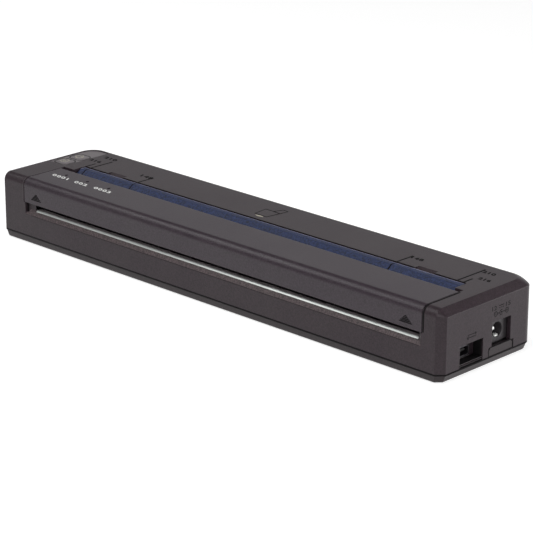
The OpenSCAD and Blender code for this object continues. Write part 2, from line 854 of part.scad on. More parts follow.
// Lower case
module lower_case() {
  fixings = concat(corner_posts, ledge_posts);
  mid = tray_inset + tray_taper;
  color([0.22, 0.21, 0.23]) difference() {
    union() {
      difference() {
        hull() {
          tray_outline(mid + tray_edge, foot_drop, foot_drop + tray_edge / 2, tray_end_lean);
          tray_outline(mid, foot_drop + tray_edge, foot_drop + tray_edge * 2, tray_end_lean);
          tray_outline(mid, rim_z - tray_edge * 2, rim_z - tray_edge);
          tray_outline(tray_inset, rim_z - tray_edge / 2, rim_z);
        }
        tray_outline(wall + lip_gap + lip_t, floor_z, rim_z + over);
      }
      difference() {
        tray_outline(wall + lip_gap, floor_z, lip_z);
        tray_outline(wall + lip_gap + lip_t, floor_z - bite, lip_z + over);
      }
      for (xy = fixings) post(xy, floor_z - bite, meet_z, lower_post_r);
      for (x = chassis_post_xs, y = chassis_post_ys)
        post([x, y], floor_z - bite, chassis_z, post_r);
      for (xy = board_posts) post(xy, floor_z - bite, board_z, board_post_r);
      for (i = [0:floor((battery_l - cradle_in) / rib_pitch)])
        let (x = battery_x0 + cradle_in + i * rib_pitch)
        block(x, x + rib_t, battery_y0 + cradle_edge, battery_y1 - cradle_edge,
          floor_z - bite, battery_z0);
      tab();
    }
    for (xy = fixings) {
      post(xy, foot_drop - over, foot_drop + screw_sink, screw_head_r + key_gap);
      post(xy, foot_drop, meet_z + over, screw_r + key_gap);
    }
    for (x = chassis_post_xs, y = chassis_post_ys)
      post([x, y], floor_z, chassis_z + over, screw_r + fix_gap);
    for (xy = board_posts) post(xy, floor_z, board_z + over, board_screw_r + fix_gap);
    for (xy = feet_xy) post(xy, foot_drop - over, foot_drop + foot_recess, foot_r + fix_gap);
  }
}
module tab() {
  intersection() {
    along_x(inner_x + lip_gap, end_x - clear)
      round_rect(tab_y0, tab_y1, rim_z - 2 * tab_round, jack_low, tab_round);
    block(inner_x, end_x, tab_y0 - over, tab_y1 + over, rim_z - bite, jack_low + over);
  }
}
module case_screws() {
  head_z = foot_drop + screw_sink - screw_head_h;
  color([0.75, 0.75, 0.77])
    for (xy = concat(corner_posts, ledge_posts))
      screw_up(xy, head_z, screw_head_r, screw_head_h, screw_r, meet_z + screw_grip);
}
module rubber_feet() {
  color([0.12, 0.12, 0.12])
    for (xy = feet_xy) post(xy, 0, foot_drop + foot_recess, foot_r);
}

// Release cover
module cover_section() {
  difference() {
    side_outline(0, cover_z0);
    side_outline(wall, cover_z0 - over);
    translate([cover_y1, cover_z0 - over]) square([body_d, body_h]);
  }
}
module ear_outline() {
  translate([hinge_y, hinge_z]) circle(r = ear_r);
  translate([hinge_y - ear_r, hinge_z]) square([2 * ear_r, skin_z + bite - hinge_z]);
}
module arrow_cut(x) {
  half = arrow_w / 2;
  for (i = [0:arrow_rows - 1])
    let (low = i / arrow_rows, high = (i + arrow_row_share) / arrow_rows)
    translate([x, front_y + arrow_d, cover_z0 + arrow_up])
      rotate([90, 0, 0]) linear_extrude(arrow_d + over)
      polygon([[-half * (1 - low), arrow_h * low], [half * (1 - low), arrow_h * low],
        [half * (1 - high), arrow_h * high], [-half * (1 - high), arrow_h * high]]);
}
module release_cover() {
  x0 = cover_x0 + seam;
  x1 = cover_x1 - seam;
  inner_front = front_y + wall;
  roof = skin_z + bite;
  color([0.35, 0.34, 0.35]) difference() {
    union() {
      along_x(x0, x1) cover_section();
      for (x = [x0, x1 - ear_t]) along_x(x, x + ear_t) ear_outline();
      for (x = [x0, x1 - web_t])
        block(x, x + web_t, inner_front - bite, hinge_y, plate_top + air, roof);
      rod_x(x0 - hinge_wall + air, x0 + bite, hinge_y, hinge_z, pin_r);
      rod_x(x1 - bite, x1 + hinge_wall - air, hinge_y, hinge_z, pin_r);
      for (x = [plate_x0, plate_x1 - sheet_t])
        block(x + clear, x + sheet_t - clear, platen_y - finger_d / 2, platen_y + finger_d / 2,
          platen_z + bush_r + air, roof);
      block(x0, x1, inner_front + cover_rib_d, inner_front + cover_rib_d + cover_bar_d,
        skin_z - cover_bar_h, roof);
      for (i = [0:floor((x1 - x0 - 2 * cover_rib_in) / rib_pitch)])
        let (x = x0 + cover_rib_in + i * rib_pitch)
        block(x, x + rib_t, inner_front - bite, inner_front + cover_rib_d + bite,
          cover_z0 + cover_rib_up, roof);
    }
    for (x = lens_xs) post([x, lens_y], skin_z - over, body_h + over, lens_r);
    arrow_cut(cover_x0 + arrow_from_l);
    arrow_cut(cover_x1 - arrow_from_r);
  }
}
module indicator_lenses() {
  color([0.75, 0.8, 0.7]) for (x = lens_xs) {
    post([x, lens_y], skin_z - bite, body_h - lens_sink, lens_r - fix_gap);
    post([x, lens_y], skin_z - lens_flange_t, skin_z, 2 * lens_r - clear);
  }
}

// Paper path
module guide_section() {
  polygon([[guide_y0, ramp_z], [crest_y0, guide_z], [guide_y1, guide_z],
    [guide_y1, web_z0], [guide_y1 - guide_t, web_z0], [guide_y1 - guide_t, guide_z - guide_t],
    [crest_y0 + guide_t / 3, guide_z - guide_t], [guide_y0 + guide_t, ramp_z - guide_t / 3],
    [guide_y0 + guide_t, chute_z], [guide_y0, chute_z]]);
}
module chute_section() {
  difference() {
    translate([chute_y, chute_z]) circle(r = chute_r + guide_t);
    translate([chute_y, chute_z]) circle(r = chute_r);
    translate([chute_y - 2 * chute_r, chute_z]) square(4 * chute_r);
    translate([chute_y - 4 * chute_r, chute_z - 2 * chute_r]) square(4 * chute_r);
  }
}
module paper_guide() {
  color([0.2, 0.25, 0.42]) difference() {
    union() {
      along_x(guide_x0, guide_x1) guide_section();
      along_x(plate_in0 + air, guide_x1) chute_section();
      for (i = [0:floor((guide_x1 - guide_x0 - 2 * guide_rib_in) / rib_pitch)])
        let (x = guide_x0 + guide_rib_in + i * rib_pitch) {
          block(x, x + rib_t, guide_y0 + bite, guide_y1 - bite, web_z0, ramp_z);
          block(x, x + guide_foot_l, guide_y1 - bite, bay_y0, web_z0, web_z0 + web_drop);
        }
    }
    for (x = crossing_marks)
      along_x(x - mark_w / 2, x + mark_w / 2)
        polygon([[guide_y0 - over, ramp_z - mark_d], [guide_y0, ramp_z - mark_d],
          [crest_y0, guide_z - mark_d], [guide_y1 + over, guide_z - mark_d],
          [guide_y1 + over, guide_z + over], [guide_y0 - over, guide_z + over]]);
    block(sensor_x + air, sensor_x + air + sensor_window, guide_y0 - over,
      guide_y0 + guide_t + over, sensor_z, sensor_z + sensor_window_h);
  }
}
module paper_sensor() {
  y = guide_y0 + guide_t;
  z = sensor_z - sensor_low;
  color([0.1, 0.1, 0.1])
    block(sensor_x, sensor_x + sensor_l, y, y + sensor_t, z, z + sensor_h);
}
module tear_bar() {
  y = front_y + wall;
  color([0.85, 0.86, 0.86])
    along_x(slot_x0 + bar_end_gap, slot_x1) {
      translate([y, slot_z0]) square([bar_lip_t, bar_lip_h]);
      translate([y, slot_z0]) square([bar_d, bar_t]);
    }
}

// Key pad
module key_sheet() {
  z1 = body_h - pad_sink;
  color([0.42, 0.41, 0.42]) difference() {
    translate([0, 0, z1 - pad_t]) linear_extrude(pad_t) pad_plan(0);
    for (y = key_ys) key_block(y, key_gap, z1 - over, z1 + over);
  }
}
module key_cap(y) {
  shoulder_z = body_h - pad_sink;
  key_block(y, 0, key_flange_z0, shoulder_z - thin);
  hull() {
    key_block(y, 0, shoulder_z - thin - bite, shoulder_z);
    key_block(y, -key_slope, body_h - key_sink - thin, body_h - key_sink);
  }
  key_block(y, key_flange, key_flange_z0, key_flange_z1);
  post([key_x, y], key_foot_z, key_flange_z0 + bite, switch_side / 4);
}
module feed_key() {
  color([0.44, 0.43, 0.44]) key_cap(key_ys[0]);
}
module power_key() {
  color([0.44, 0.43, 0.44]) key_cap(key_ys[1]);
}
module key_board() {
  half = key_w / 2 + key_board_edge;
  top = key_board_z + key_board_t;
  color([0.1, 0.35, 0.2]) difference() {
    block(key_x - half, key_x + half, key_posts[0][1] - key_post_r,
      key_posts[1][1] + key_post_r, key_board_z, top);
    for (xy = key_posts) post(xy, key_board_z - over, top + over, board_screw_r + key_gap);
    post(corner_posts[1], key_board_z - over, top + over, upper_post_r + air);
  }
}
module key_switches() {
  s = switch_side / 2;
  body_z = switch_top - switch_button_h;
  color([0.7, 0.7, 0.72]) for (y = key_ys) {
    block(key_x - s, key_x + s, y - s, y + s, key_board_z + key_board_t, body_z);
    post([key_x, y], body_z - bite, switch_top, s / 2);
  }
}
module key_board_screws() {
  color([0.75, 0.75, 0.77]) for (xy = key_posts)
    screw_up(xy, key_board_z - small_head_h, small_head_r, small_head_h,
      board_screw_r, skin_z - key_board_edge);
}

// Chassis
module side_plate_outline() {
  cheek = bush_r + plate_cheek;
  difference() {
    union() {
      translate([chassis_y0, chassis_z]) square([chassis_y1 - chassis_y0, plate_low_h]);
      translate([platen_y - cheek, chassis_z]) square([2 * cheek, plate_top - chassis_z]);
    }
    translate([platen_y, platen_z]) circle(r = bush_r);
    translate([platen_y - bush_r, platen_z]) square([2 * bush_r, body_h]);
  }
}
module lamp_shelf() {
  y0 = lamp_board_y0 + lamp_shelf_front;
  y1 = lamp_board_y1 - bite;
  block(plate_x0, plate_in0 + lamp_shelf_l, y0, y1, plate_top, lamp_board_z);
  block(plate_x0, plate_in0, y0, y1, chassis_top, lamp_board_z);
}
module gear_plate_bore(y, z, r)
  rod_x(gear_plate_x0 - over, gear_plate_x1 + over, y, z, r);
module chassis() {
  color([0.7, 0.71, 0.73]) difference() {
    union() {
      block(plate_x0, plate_x1, chassis_y0, chassis_y1, chassis_z, chassis_top);
      along_x(plate_x0, plate_in0) side_plate_outline();
      along_x(plate_in1, plate_x1) side_plate_outline();
      block(gear_plate_x0, plate_x0 + bite, chassis_y0, chassis_y0 + bridge_d,
        chassis_z, chassis_top);
      block(gear_plate_x0, gear_plate_x1, chassis_y0, gear_plate_y1, chassis_z, gear_plate_z1);
      lamp_shelf();
    }
    rod_x(plate_x0 - over, plate_in0 + over, idler_y, idler_z, stud_r);
    gear_plate_bore(idler_y, idler_z, stud_r);
    gear_plate_bore(motor_y, motor_z, motor_boss_r + fix_gap);
    for (a = motor_screw_angles)
      gear_plate_bore(motor_y + motor_screw_reach * cos(a),
        motor_z + motor_screw_reach * sin(a), motor_screw_r + fix_gap);
    for (x = [plate_x0, plate_in1])
      rod_x(x - over, x + sheet_t + over, pivot_y, pivot_z, pin_r);
    for (x = chassis_post_xs, y = chassis_post_ys)
      post([x, y], chassis_z - over, chassis_top + over, screw_r + key_gap);
    block(cable_x - over, cable_x + cable_w + over, cable_y - cable_slot_front,
      cable_y + cable_slot_back, chassis_z - over, chassis_top + over);
  }
}
module chassis_screws() {
  color([0.75, 0.75, 0.77]) for (x = chassis_post_xs, y = chassis_post_ys)
    screw_down([x, y], chassis_top + chassis_screw_rise, screw_head_r, chassis_screw_rise,
      screw_r, floor_z + chassis_screw_end);
}

// Platen roller and its drive
module platen_shaft() {
  color([0.78, 0.79, 0.8]) {
    rod_x(inner_wheel_x0, plate_x1 + shaft_end, platen_y, platen_z, journal_r);
    rod_x(rubber_x0, rubber_x1, platen_y, platen_z, core_r);
  }
}
module platen_rubber() {
  color([0.09, 0.09, 0.09]) difference() {
    rod_x(rubber_x0, rubber_x1, platen_y, platen_z, platen_r);
    rod_x(rubber_x0 - over, rubber_x1 + over, platen_y, platen_z, core_r);
  }
}
module platen_gear() {
  color([0.85, 0.84, 0.8])
    wheel(inner_wheel_x0, inner_wheel_x1, platen_y, platen_z, platen_teeth, idler_angle,
      journal_r);
}
module bush(x0, x1, flange_x0) {
  difference() {
    union() {
      rod_x(x0, x1, platen_y, platen_z, bush_r);
      rod_x(flange_x0, flange_x0 + flange_t, platen_y, platen_z, flange_r);
    }
    rod_x(x0 - over, x1 + over, platen_y, platen_z, journal_r + run_gap);
  }
}
module platen_bushes() {
  color([0.9, 0.88, 0.82]) {
    bush(plate_x0, plate_in0 + flange_t, plate_in0);
    bush(plate_in1 - flange_t, plate_x1, plate_in1 - flange_t);
  }
}
module idler_stud() {
  color([0.78, 0.79, 0.8]) rod_x(gear_plate_x0, plate_in0, idler_y, idler_z, stud_r);
}
module idler_gear() {
  small_turn = idler_angle + 180 - 180 / small_teeth;
  color([0.87, 0.86, 0.82]) {
    wheel(inner_wheel_x0 - wheel_gap, inner_wheel_x1, idler_y, idler_z, small_teeth,
      small_turn, stud_r + run_gap);
    wheel(outer_wheel_x0, outer_wheel_x1, idler_y, idler_z, large_teeth, motor_angle,
      stud_r + run_gap);
  }
}
module stepper_motor() {
  color([0.6, 0.61, 0.63]) difference() {
    union() {
      rod_x(gear_plate_x0 - motor_l, gear_plate_x0, motor_y, motor_z, motor_r);
      rod_x(gear_plate_x0 - bite, gear_plate_x1, motor_y, motor_z, motor_boss_r);
    }
    rod_x(gear_plate_x0 - motor_l / 2, end_x, motor_y, motor_z, motor_shaft_r + run_gap);
    for (a = motor_screw_angles)
      rod_x(gear_plate_x0 - motor_screw_l - air, end_x, motor_y + motor_screw_reach * cos(a),
        motor_z + motor_screw_reach * sin(a), motor_screw_r + fix_gap);
  }
}
module motor_shaft() {
  color([0.8, 0.8, 0.82])
    rod_x(gear_plate_x0 - motor_l / 2 + air, outer_wheel_x1, motor_y, motor_z, motor_shaft_r);
}
module motor_pinion() {
  color([0.8, 0.65, 0.3])
    wheel(outer_wheel_x0, outer_wheel_x1, motor_y, motor_z, pinion_teeth,
      motor_angle + 180 - 180 / pinion_teeth, motor_shaft_r);
}
module motor_screws() {
  color([0.75, 0.75, 0.77]) for (a = motor_screw_angles)
    translate([0, motor_y + motor_screw_reach * cos(a), motor_z + motor_screw_reach * sin(a)]) {
      rod_x(gear_plate_x0 - motor_screw_l, gear_plate_x1, 0, 0, motor_screw_r);
      rod_x(gear_plate_x1, gear_plate_x1 + small_head_h, 0, 0, small_head_r);
    }
}

// Print head
module head_strip() {
  color([0.93, 0.93, 0.9])
    block(plate_in0 + strip_in, plate_in1 - strip_in, strip_y0, strip_y1,
      strip_z, strip_z + strip_t);
}
module head_driver_cover() {
  y1 = strip_y1 - air;
  z0 = strip_z + strip_t;
  color([0.08, 0.08, 0.08])
    block(plate_in0 + driver_in, plate_in1 - driver_in, y1 - driver_w, y1, z0, z0 + driver_h);
}
module head_heat_sink() {
  x0 = plate_in0 + sink_in;
  x1 = plate_in1 - sink_in;
  step_z = strip_z - sink_step;
  color([0.8, 0.81, 0.82]) difference() {
    union() {
      block(x0, x1, sink_y0, sink_step_y, sink_z, strip_z);
      block(x0, x1, sink_step_y - bite, sink_y1, sink_z, step_z);
      for (x = [x0, x1 - pivot_ear_l]) {
        rod_x(x, x + pivot_ear_l, pivot_y, pivot_z, pivot_ear_r);
        block(x, x + pivot_ear_l, sink_y1 - over, pivot_y, sink_z - pivot_web_drop, step_z);
      }
    }
    rod_x(x0 - over, x1 + over, pivot_y, pivot_z, pin_r + run_gap);
    block(x0 + pivot_ear_l + bite, x1 - pivot_ear_l - bite, sink_y0 + sink_rim,
      sink_y1 - sink_rim, sink_z - over, sink_z + sink_pocket);
  }
}
module head_pivot_pin() {
  color([0.78, 0.79, 0.8]) rod_x(plate_x0, plate_x1, pivot_y, pivot_z, pin_r);
}
module head_springs() {
  color([0.75, 0.76, 0.78]) for (x = spring_xs)
    translate([x, platen_y, chassis_top]) coil(spring_h);
}
module head_cable() {
  color([0.9, 0.88, 0.8])
    block(cable_x, cable_x + cable_w, cable_y, cable_y + cable_t,
      board_top + connector_h, sink_z + key_gap);
}
module cable_connector() {
  color([0.92, 0.9, 0.85])
    block(cable_x - connector_end, cable_x + cable_w + connector_end,
      cable_y - connector_d / 2, cable_y + connector_d / 2, board_top, board_top + connector_h);
}

// Boards
module main_board() {
  color([0.08, 0.35, 0.18]) difference() {
    union() {
      block(board_x0, board_x1, board_y0, board_y1, board_z, board_top);
      block(ear_x0, ear_x1, board_y1 - board_ear_lap, jack_y1 + 2 * air, board_z, board_top);
    }
    for (x = chassis_post_xs, y = chassis_post_ys)
      post([x, y], board_z - over, board_top + over, post_r + air);
    for (xy = board_posts)
      post(xy, board_z - over, board_top + over, board_screw_r + key_gap);
  }
}
module board_chips() {
  y = board_y0 + chip_in;
  color([0.1, 0.1, 0.1]) for (x = chip_xs)
    block(x, x + chip_l, y, y + chip_d, board_top, board_top + chip_h);
}
module board_capacitors() {
  color([0.3, 0.3, 0.34]) for (share = capacitor_shares)
    post([board_x0 + board_l * share, board_y1 - capacitor_in],
      board_z - capacitor_h, board_z, capacitor_r);
}
module board_screws() {
  color([0.75, 0.75, 0.77]) for (xy = board_posts)
    screw_down(xy, board_top + small_head_h, small_head_r, small_head_h, board_screw_r,
      floor_z + board_screw_end);
}
module indicator_board() {
  color([0.1, 0.35, 0.2])
    block(plate_x0 + bite, lamp_board_x1, lamp_board_y0, lamp_board_y1, lamp_board_z,
      lamp_board_z + lamp_board_t);
}
module indicator_lamps() {
  z = lamp_board_z + lamp_board_t;
  color([0.9, 0.95, 0.85]) for (x = lens_xs)
    block(x - lamp_side / 2, x + lamp_side / 2, lens_y - lamp_d / 2, lens_y + lamp_d / 2,
      z, z + lamp_h);
}

// Sockets
module usb_outline(grow)
  round_rect(usb_y - usb_w / 2 - grow, usb_y + usb_w / 2 + grow,
    usb_z - usb_h / 2 - grow, usb_z + usb_h / 2 + grow, usb_round + grow);
module usb_shell() {
  color([0.7, 0.71, 0.73]) difference() {
    along_x(usb_x0, usb_x1) usb_outline(0);
    along_x(usb_x0 + usb_wall, usb_x1 + over) usb_outline(-usb_wall);
  }
}
module usb_tongue() {
  x0 = usb_x0 + usb_wall;
  z0 = usb_z - tongue_drop;
  color([0.1, 0.1, 0.1]) {
    along_x(x0, x0 + tongue_back) usb_outline(-usb_wall - fix_gap);
    block(x0, usb_x1 - tongue_t, usb_y - tongue_w / 2, usb_y + tongue_w / 2, z0, z0 + tongue_t);
  }
}
module jack_body() {
  color([0.2, 0.19, 0.21]) difference() {
    block(jack_x0, jack_face_x, jack_y0 - air, jack_y1 + air, board_top, jack_top + air);
    rod_x(jack_face_x - jack_bore_l, jack_face_x + over, jack_y, jack_z, jack_r);
    rod_x(jack_x0 + over, jack_face_x, jack_y, jack_z, jack_pin_r);
  }
}
module jack_pin() {
  tip_x = jack_face_x - jack_pin_set - jack_pin_r;
  color([0.85, 0.85, 0.86]) {
    rod_x(jack_x0 + over, tip_x, jack_y, jack_z, jack_pin_r);
    translate([tip_x, jack_y, jack_z]) sphere(r = jack_pin_r);
  }
}
module jack_spring() {
  z = jack_z - jack_r + tongue_drop + run_gap;
  w = jack_r * jack_leaf_share;
  color([0.85, 0.85, 0.86])
    block(jack_face_x - jack_bore_l, jack_face_x - jack_leaf_set, jack_y - w, jack_y + w,
      z, z + jack_leaf_t);
}

// Battery
module battery_stick() {
  color([0.16, 0.17, 0.2])
    along_x(battery_x0, battery_x1)
      round_rect(battery_y0, battery_y1, battery_z0, battery_z1, battery_round);
}
module battery_contact_block() {
  color([0.12, 0.12, 0.12])
    block(battery_x1 + leaf_l, bay_x1, battery_y0 + battery_d * contact_shares[0],
      battery_y0 + battery_d * contact_shares[1],
      battery_z0 + contact_in, battery_z1 - contact_in);
}
module battery_leaves() {
  color([0.85, 0.7, 0.35]) for (share = leaf_shares)
    let (y = battery_y0 + battery_d * share)
    block(battery_x1, battery_x1 + leaf_l, y, y + leaf_t, battery_z0 + leaf_in,
      battery_z1 - leaf_in);
}
module battery_door() {
  z0 = door_z0 + door_rib_low;
  color([0.25, 0.24, 0.26]) difference() {
    union() {
      block(door_x0, door_x1, inner_y, rear_y, door_z0, door_z1);
      for (x = [door_x0, door_x1 - knuckle_l])
        rod_x(x, x + knuckle_l, door_y, door_z, knuckle_r);
      rod_x(door_x0 - door_pin_l, door_x0 + bite, door_y, door_z, door_pin_r);
      rod_x(door_x1 - bite, door_x1 + door_pin_l, door_y, door_z, door_pin_r);
      for (i = [0:floor((battery_l - 2 * door_rib_in) / rib_pitch)])
        let (x = battery_x0 + door_rib_in + i * rib_pitch)
        block(x, x + rib_t, battery_y1 + clear, inner_y + bite, z0, z0 + door_rib_h);
    }
    translate([(door_x0 + door_x1) / 2, rear_y + thumb_r - thumb_d, door_z0])
      sphere(r = thumb_r);
  }
}

upper_case();
lower_case();
case_screws();
rubber_feet();
release_cover();
indicator_lenses();
paper_guide();
tear_bar();
key_sheet();
feed_key();
power_key();
key_board();
key_switches();
key_board_screws();
chassis();
chassis_screws();
platen_shaft();
platen_rubber();
platen_gear();
platen_bushes();
idler_stud();
idler_gear();
stepper_motor();
motor_shaft();
motor_pinion();
motor_screws();
head_strip();
head_driver_cover();
head_heat_sink();
head_pivot_pin();
head_springs();
head_cable();
cable_connector();
paper_sensor();
main_board();
board_chips();
board_capacitors();
board_screws();
indicator_board();
indicator_lamps();
usb_shell();
usb_tongue();
jack_body();
jack_pin();
jack_spring();
battery_stick();
battery_contact_block();
battery_leaves();
battery_door();
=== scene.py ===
import json
import math
import bmesh
import bpy
from mathutils import Matrix, Vector, geometry


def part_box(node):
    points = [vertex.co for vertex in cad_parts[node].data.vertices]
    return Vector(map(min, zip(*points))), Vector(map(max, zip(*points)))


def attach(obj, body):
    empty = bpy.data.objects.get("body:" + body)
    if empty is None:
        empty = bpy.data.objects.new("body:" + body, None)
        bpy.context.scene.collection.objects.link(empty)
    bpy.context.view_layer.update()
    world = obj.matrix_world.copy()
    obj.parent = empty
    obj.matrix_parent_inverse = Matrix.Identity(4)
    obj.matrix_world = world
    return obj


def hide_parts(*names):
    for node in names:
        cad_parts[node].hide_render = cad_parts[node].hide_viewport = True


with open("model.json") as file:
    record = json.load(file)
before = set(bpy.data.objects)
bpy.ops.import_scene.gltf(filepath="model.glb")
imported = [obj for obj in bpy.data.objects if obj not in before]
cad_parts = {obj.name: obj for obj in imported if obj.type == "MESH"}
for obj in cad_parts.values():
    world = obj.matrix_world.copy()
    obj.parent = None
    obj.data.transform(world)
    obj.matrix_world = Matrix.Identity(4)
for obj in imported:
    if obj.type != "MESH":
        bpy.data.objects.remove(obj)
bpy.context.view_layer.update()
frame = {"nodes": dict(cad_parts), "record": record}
print("frame loaded with", len(frame["nodes"]), "nodes")

mm = 0.001
nodeSlot = {s["node"]: s["material_slot"] for s in frame["record"]["subparts"]}


def srgb(red, green, blue):
    # 0 to 255 screen values to the linear colour that a shader wants
    def linear(v):
        v /= 255
        return v / 12.92 if v <= 0.04045 else ((v + 0.055) / 1.055) ** 2.4
    return (linear(red), linear(green), linear(blue), 1.0)


# camera, fitted to the edges of the body in the photograph
camera = {
    "azimuth": 43.752,       # degrees round the object from the front
    "elevation": 19.301,     # degrees above the table
    "roll": 0.242,
    "distance": 942.93,      # mm from the point it looks at
    "target": (20.908, 0.0, 15.5),
    "lens": 155.45,
    "sensor": 36,
    "shift": (-0.03544, -0.0032),
    "clip": (0.05, 20),      # metres
}
azimuth = math.radians(camera["azimuth"])
towardsCamera = (math.sin(azimuth), -math.cos(azimuth), 0)     # level, from the object to the camera
acrossPicture = (math.cos(azimuth), math.sin(azimuth), 0)      # level, to the right in the picture


def addObject(name, data):
    obj = bpy.data.objects.new(name, data)
    bpy.context.scene.collection.objects.link(obj)
    return obj


def aimCamera():
    rise = math.radians(camera["elevation"])
    back = Vector([part * math.cos(rise) for part in towardsCamera[:2]] + [math.sin(rise)])
    right = Vector(acrossPicture)
    up = back.cross(right)
    turn = Matrix.Rotation(math.radians(camera["roll"]), 3, back)
    right, up = turn @ right, turn @ up
    data = bpy.data.cameras.new("studioCamera")
    data.lens = camera["lens"]
    data.sensor_width = camera["sensor"]
    data.shift_x, data.shift_y = camera["shift"]
    data.clip_start, data.clip_end = camera["clip"]
    obj = addObject("studioCamera", data)
    place = (Vector(camera["target"]) + back * camera["distance"]) * mm
    obj.matrix_world = Matrix.Translation(place) @ Matrix((right, up, back)).transposed().to_4x4()
    bpy.context.scene.camera = obj


aimCamera()
print("camera set")


# small helpers for shader and geometry trees
def addNode(tree, kind, **settings):
    node = tree.nodes.new(kind)
    for key, value in settings.items():
        if key.startswith("in_"):
            node.inputs[int(key[3:])].default_value = value
        else:
            setattr(node, key, value)
    return node


def join(tree, source, target):
    tree.links.new(source, target)


def times(tree, value, factor, clamp=False):
    # one value times a number or another value
    node = addNode(tree, "ShaderNodeMath", operation="MULTIPLY", use_clamp=clamp)
    join(tree, value, node.inputs[0])
    if isinstance(factor, float):
        node.inputs[1].default_value = factor
    else:
        join(tree, factor, node.inputs[1])
    return node.outputs[0]


def addNoise(tree, place, scale, detail, roughness=0.5):
    noise = addNode(tree, "ShaderNodeTexNoise")
    noise.inputs["Detail"].default_value = detail
    noise.inputs["Roughness"].default_value = roughness
    join(tree, place, noise.inputs["Vector"])
    join(tree, scale, noise.inputs["Scale"])
    return noise.outputs["Fac"]


def newGroup(name, inputs, outputs):
    tree = bpy.data.node_groups.new(name, "ShaderNodeTree")
    for label, value in inputs.items():
        socket = tree.interface.new_socket(label, in_out="INPUT", socket_type="NodeSocketFloat")
        socket.default_value = value
    for label, kind in outputs.items():
        tree.interface.new_socket(label, in_out="OUTPUT", socket_type=kind)
    return tree, tree.nodes.new("NodeGroupInput"), tree.nodes.new("NodeGroupOutput")


# cells per metre at scale 1
grainCells = {"pits": 2600.0, "fine": 5200.0, "specks": 1500.0, "clouds": 38.0}
brushCells = {"lines": 4200.0, "streaks": 600.0}


def makeMouldGrain():
    # the fine pitted skin of a spark eroded mould, with slow clouding under it
    tree, source, result = newGroup(
        "mouldGrain",
        {"Scale": 1.0, "Pits": 0.5, "Cloud": 0.5},
        {"Height": "NodeSocketFloat", "Speck": "NodeSocketFloat", "Cloud": "NodeSocketFloat"})
    place = addNode(tree, "ShaderNodeTexCoord").outputs["Object"]
    scale = {layer: times(tree, source.outputs["Scale"], cells) for layer, cells in grainCells.items()}
    pits = addNode(tree, "ShaderNodeTexVoronoi", feature="SMOOTH_F1")
    join(tree, place, pits.inputs["Vector"])
    join(tree, scale["pits"], pits.inputs["Scale"])
    height = addNode(tree, "ShaderNodeMix", data_type="FLOAT")
    join(tree, source.outputs["Pits"], height.inputs["Factor"])
    join(tree, addNoise(tree, place, scale["fine"], 3.0), height.inputs["A"])
    join(tree, pits.outputs["Distance"], height.inputs["B"])
    join(tree, height.outputs["Result"], result.inputs["Height"])
    join(tree, addNoise(tree, place, scale["specks"], 4.0, 0.7), result.inputs["Speck"])
    centred = addNode(tree, "ShaderNodeMix", data_type="FLOAT")
    join(tree, source.outputs["Cloud"], centred.inputs["Factor"])
    join(tree, addNoise(tree, place, scale["clouds"], 5.0), centred.inputs["B"])
    centred.inputs["A"].default_value = 0.5
    join(tree, centred.outputs["Result"], result.inputs["Cloud"])
    return tree


def makeEdgeRubAndSheen():
    # a mask of the corners, where the bevelled normal leaves the flat one: painted highlight along the
    # edges, also standing for polish where a corner is handled
    tree, source, result = newGroup(
        "edgeRubAndSheen", {"Radius": 0.0004, "Gain": 4.0},
        {"Mask": "NodeSocketFloat", "Normal": "NodeSocketVector"})
    bevel = addNode(tree, "ShaderNodeBevel", samples=6)
    join(tree, source.outputs["Radius"], bevel.inputs["Radius"])
    flat = addNode(tree, "ShaderNodeNewGeometry")
    dot = addNode(tree, "ShaderNodeVectorMath", operation="DOT_PRODUCT")
    join(tree, bevel.outputs["Normal"], dot.inputs[0])
    join(tree, flat.outputs["Normal"], dot.inputs[1])
    lost = addNode(tree, "ShaderNodeMath", operation="SUBTRACT", in_0=1.0)
    join(tree, dot.outputs["Value"], lost.inputs[1])
    mask = times(tree, lost.outputs[0], source.outputs["Gain"], clamp=True)
    join(tree, mask, result.inputs["Mask"])
    join(tree, bevel.outputs["Normal"], result.inputs["Normal"])
    return tree


def makeBrushLines():
    # drawn or ground metal: a noise stretched along X
    tree, source, result = newGroup(
        "brushLines", {"Scale": 1.0, "Stretch": 60.0},
        {"Height": "NodeSocketFloat", "Streak": "NodeSocketFloat"})
    place = addNode(tree, "ShaderNodeTexCoord")
    squash = addNode(tree, "ShaderNodeMapping")
    shrink = addNode(tree, "ShaderNodeMath", operation="DIVIDE", in_0=1.0)
    join(tree, source.outputs["Stretch"], shrink.inputs[1])
    scale = addNode(tree, "ShaderNodeCombineXYZ", in_1=1.0, in_2=1.0)
    join(tree, shrink.outputs[0], scale.inputs[0])
    join(tree, scale.outputs[0], squash.inputs["Scale"])
    join(tree, place.outputs["Object"], squash.inputs["Vector"])
    for label, layer, detail in (("Height", "lines", 4.0), ("Streak", "streaks", 2.0)):
        size = times(tree, source.outputs["Scale"], brushCells[layer])
        join(tree, addNoise(tree, squash.outputs[0], size, detail), result.inputs[label])
    return tree


grainGroup = makeMouldGrain()
rubAndSheenGroup = makeEdgeRubAndSheen()
brushGroup = makeBrushLines()


def useGroup(tree, group, **values):
    node = tree.nodes.new("ShaderNodeGroup")
    node.node_tree = group
    for label, value in values.items():
        node.inputs[label].default_value = value
    return node


def startMaterial(name):
    made = bpy.data.materials.new(name)
    made.use_nodes = True
    tree = made.node_tree
    return made, tree, tree.nodes["Principled BSDF"]


def rampOf(tree, value, low, high, first, last, shape="LINEAR"):
    # maps the range low to high to the range first to last
    node = addNode(tree, "ShaderNodeMapRange", interpolation_type=shape)
    for label, number in (("From Min", low), ("From Max", high), ("To Min", first), ("To Max", last)):
        node.inputs[label].default_value = number
    join(tree, value, node.inputs["Value"])
    return node.outputs["Result"]


def spread(tree, noise, first, last):
    # the middle of a noise's range, where most of it lies, to the range first to last
    return rampOf(tree, noise, 0.3, 0.7, first, last)


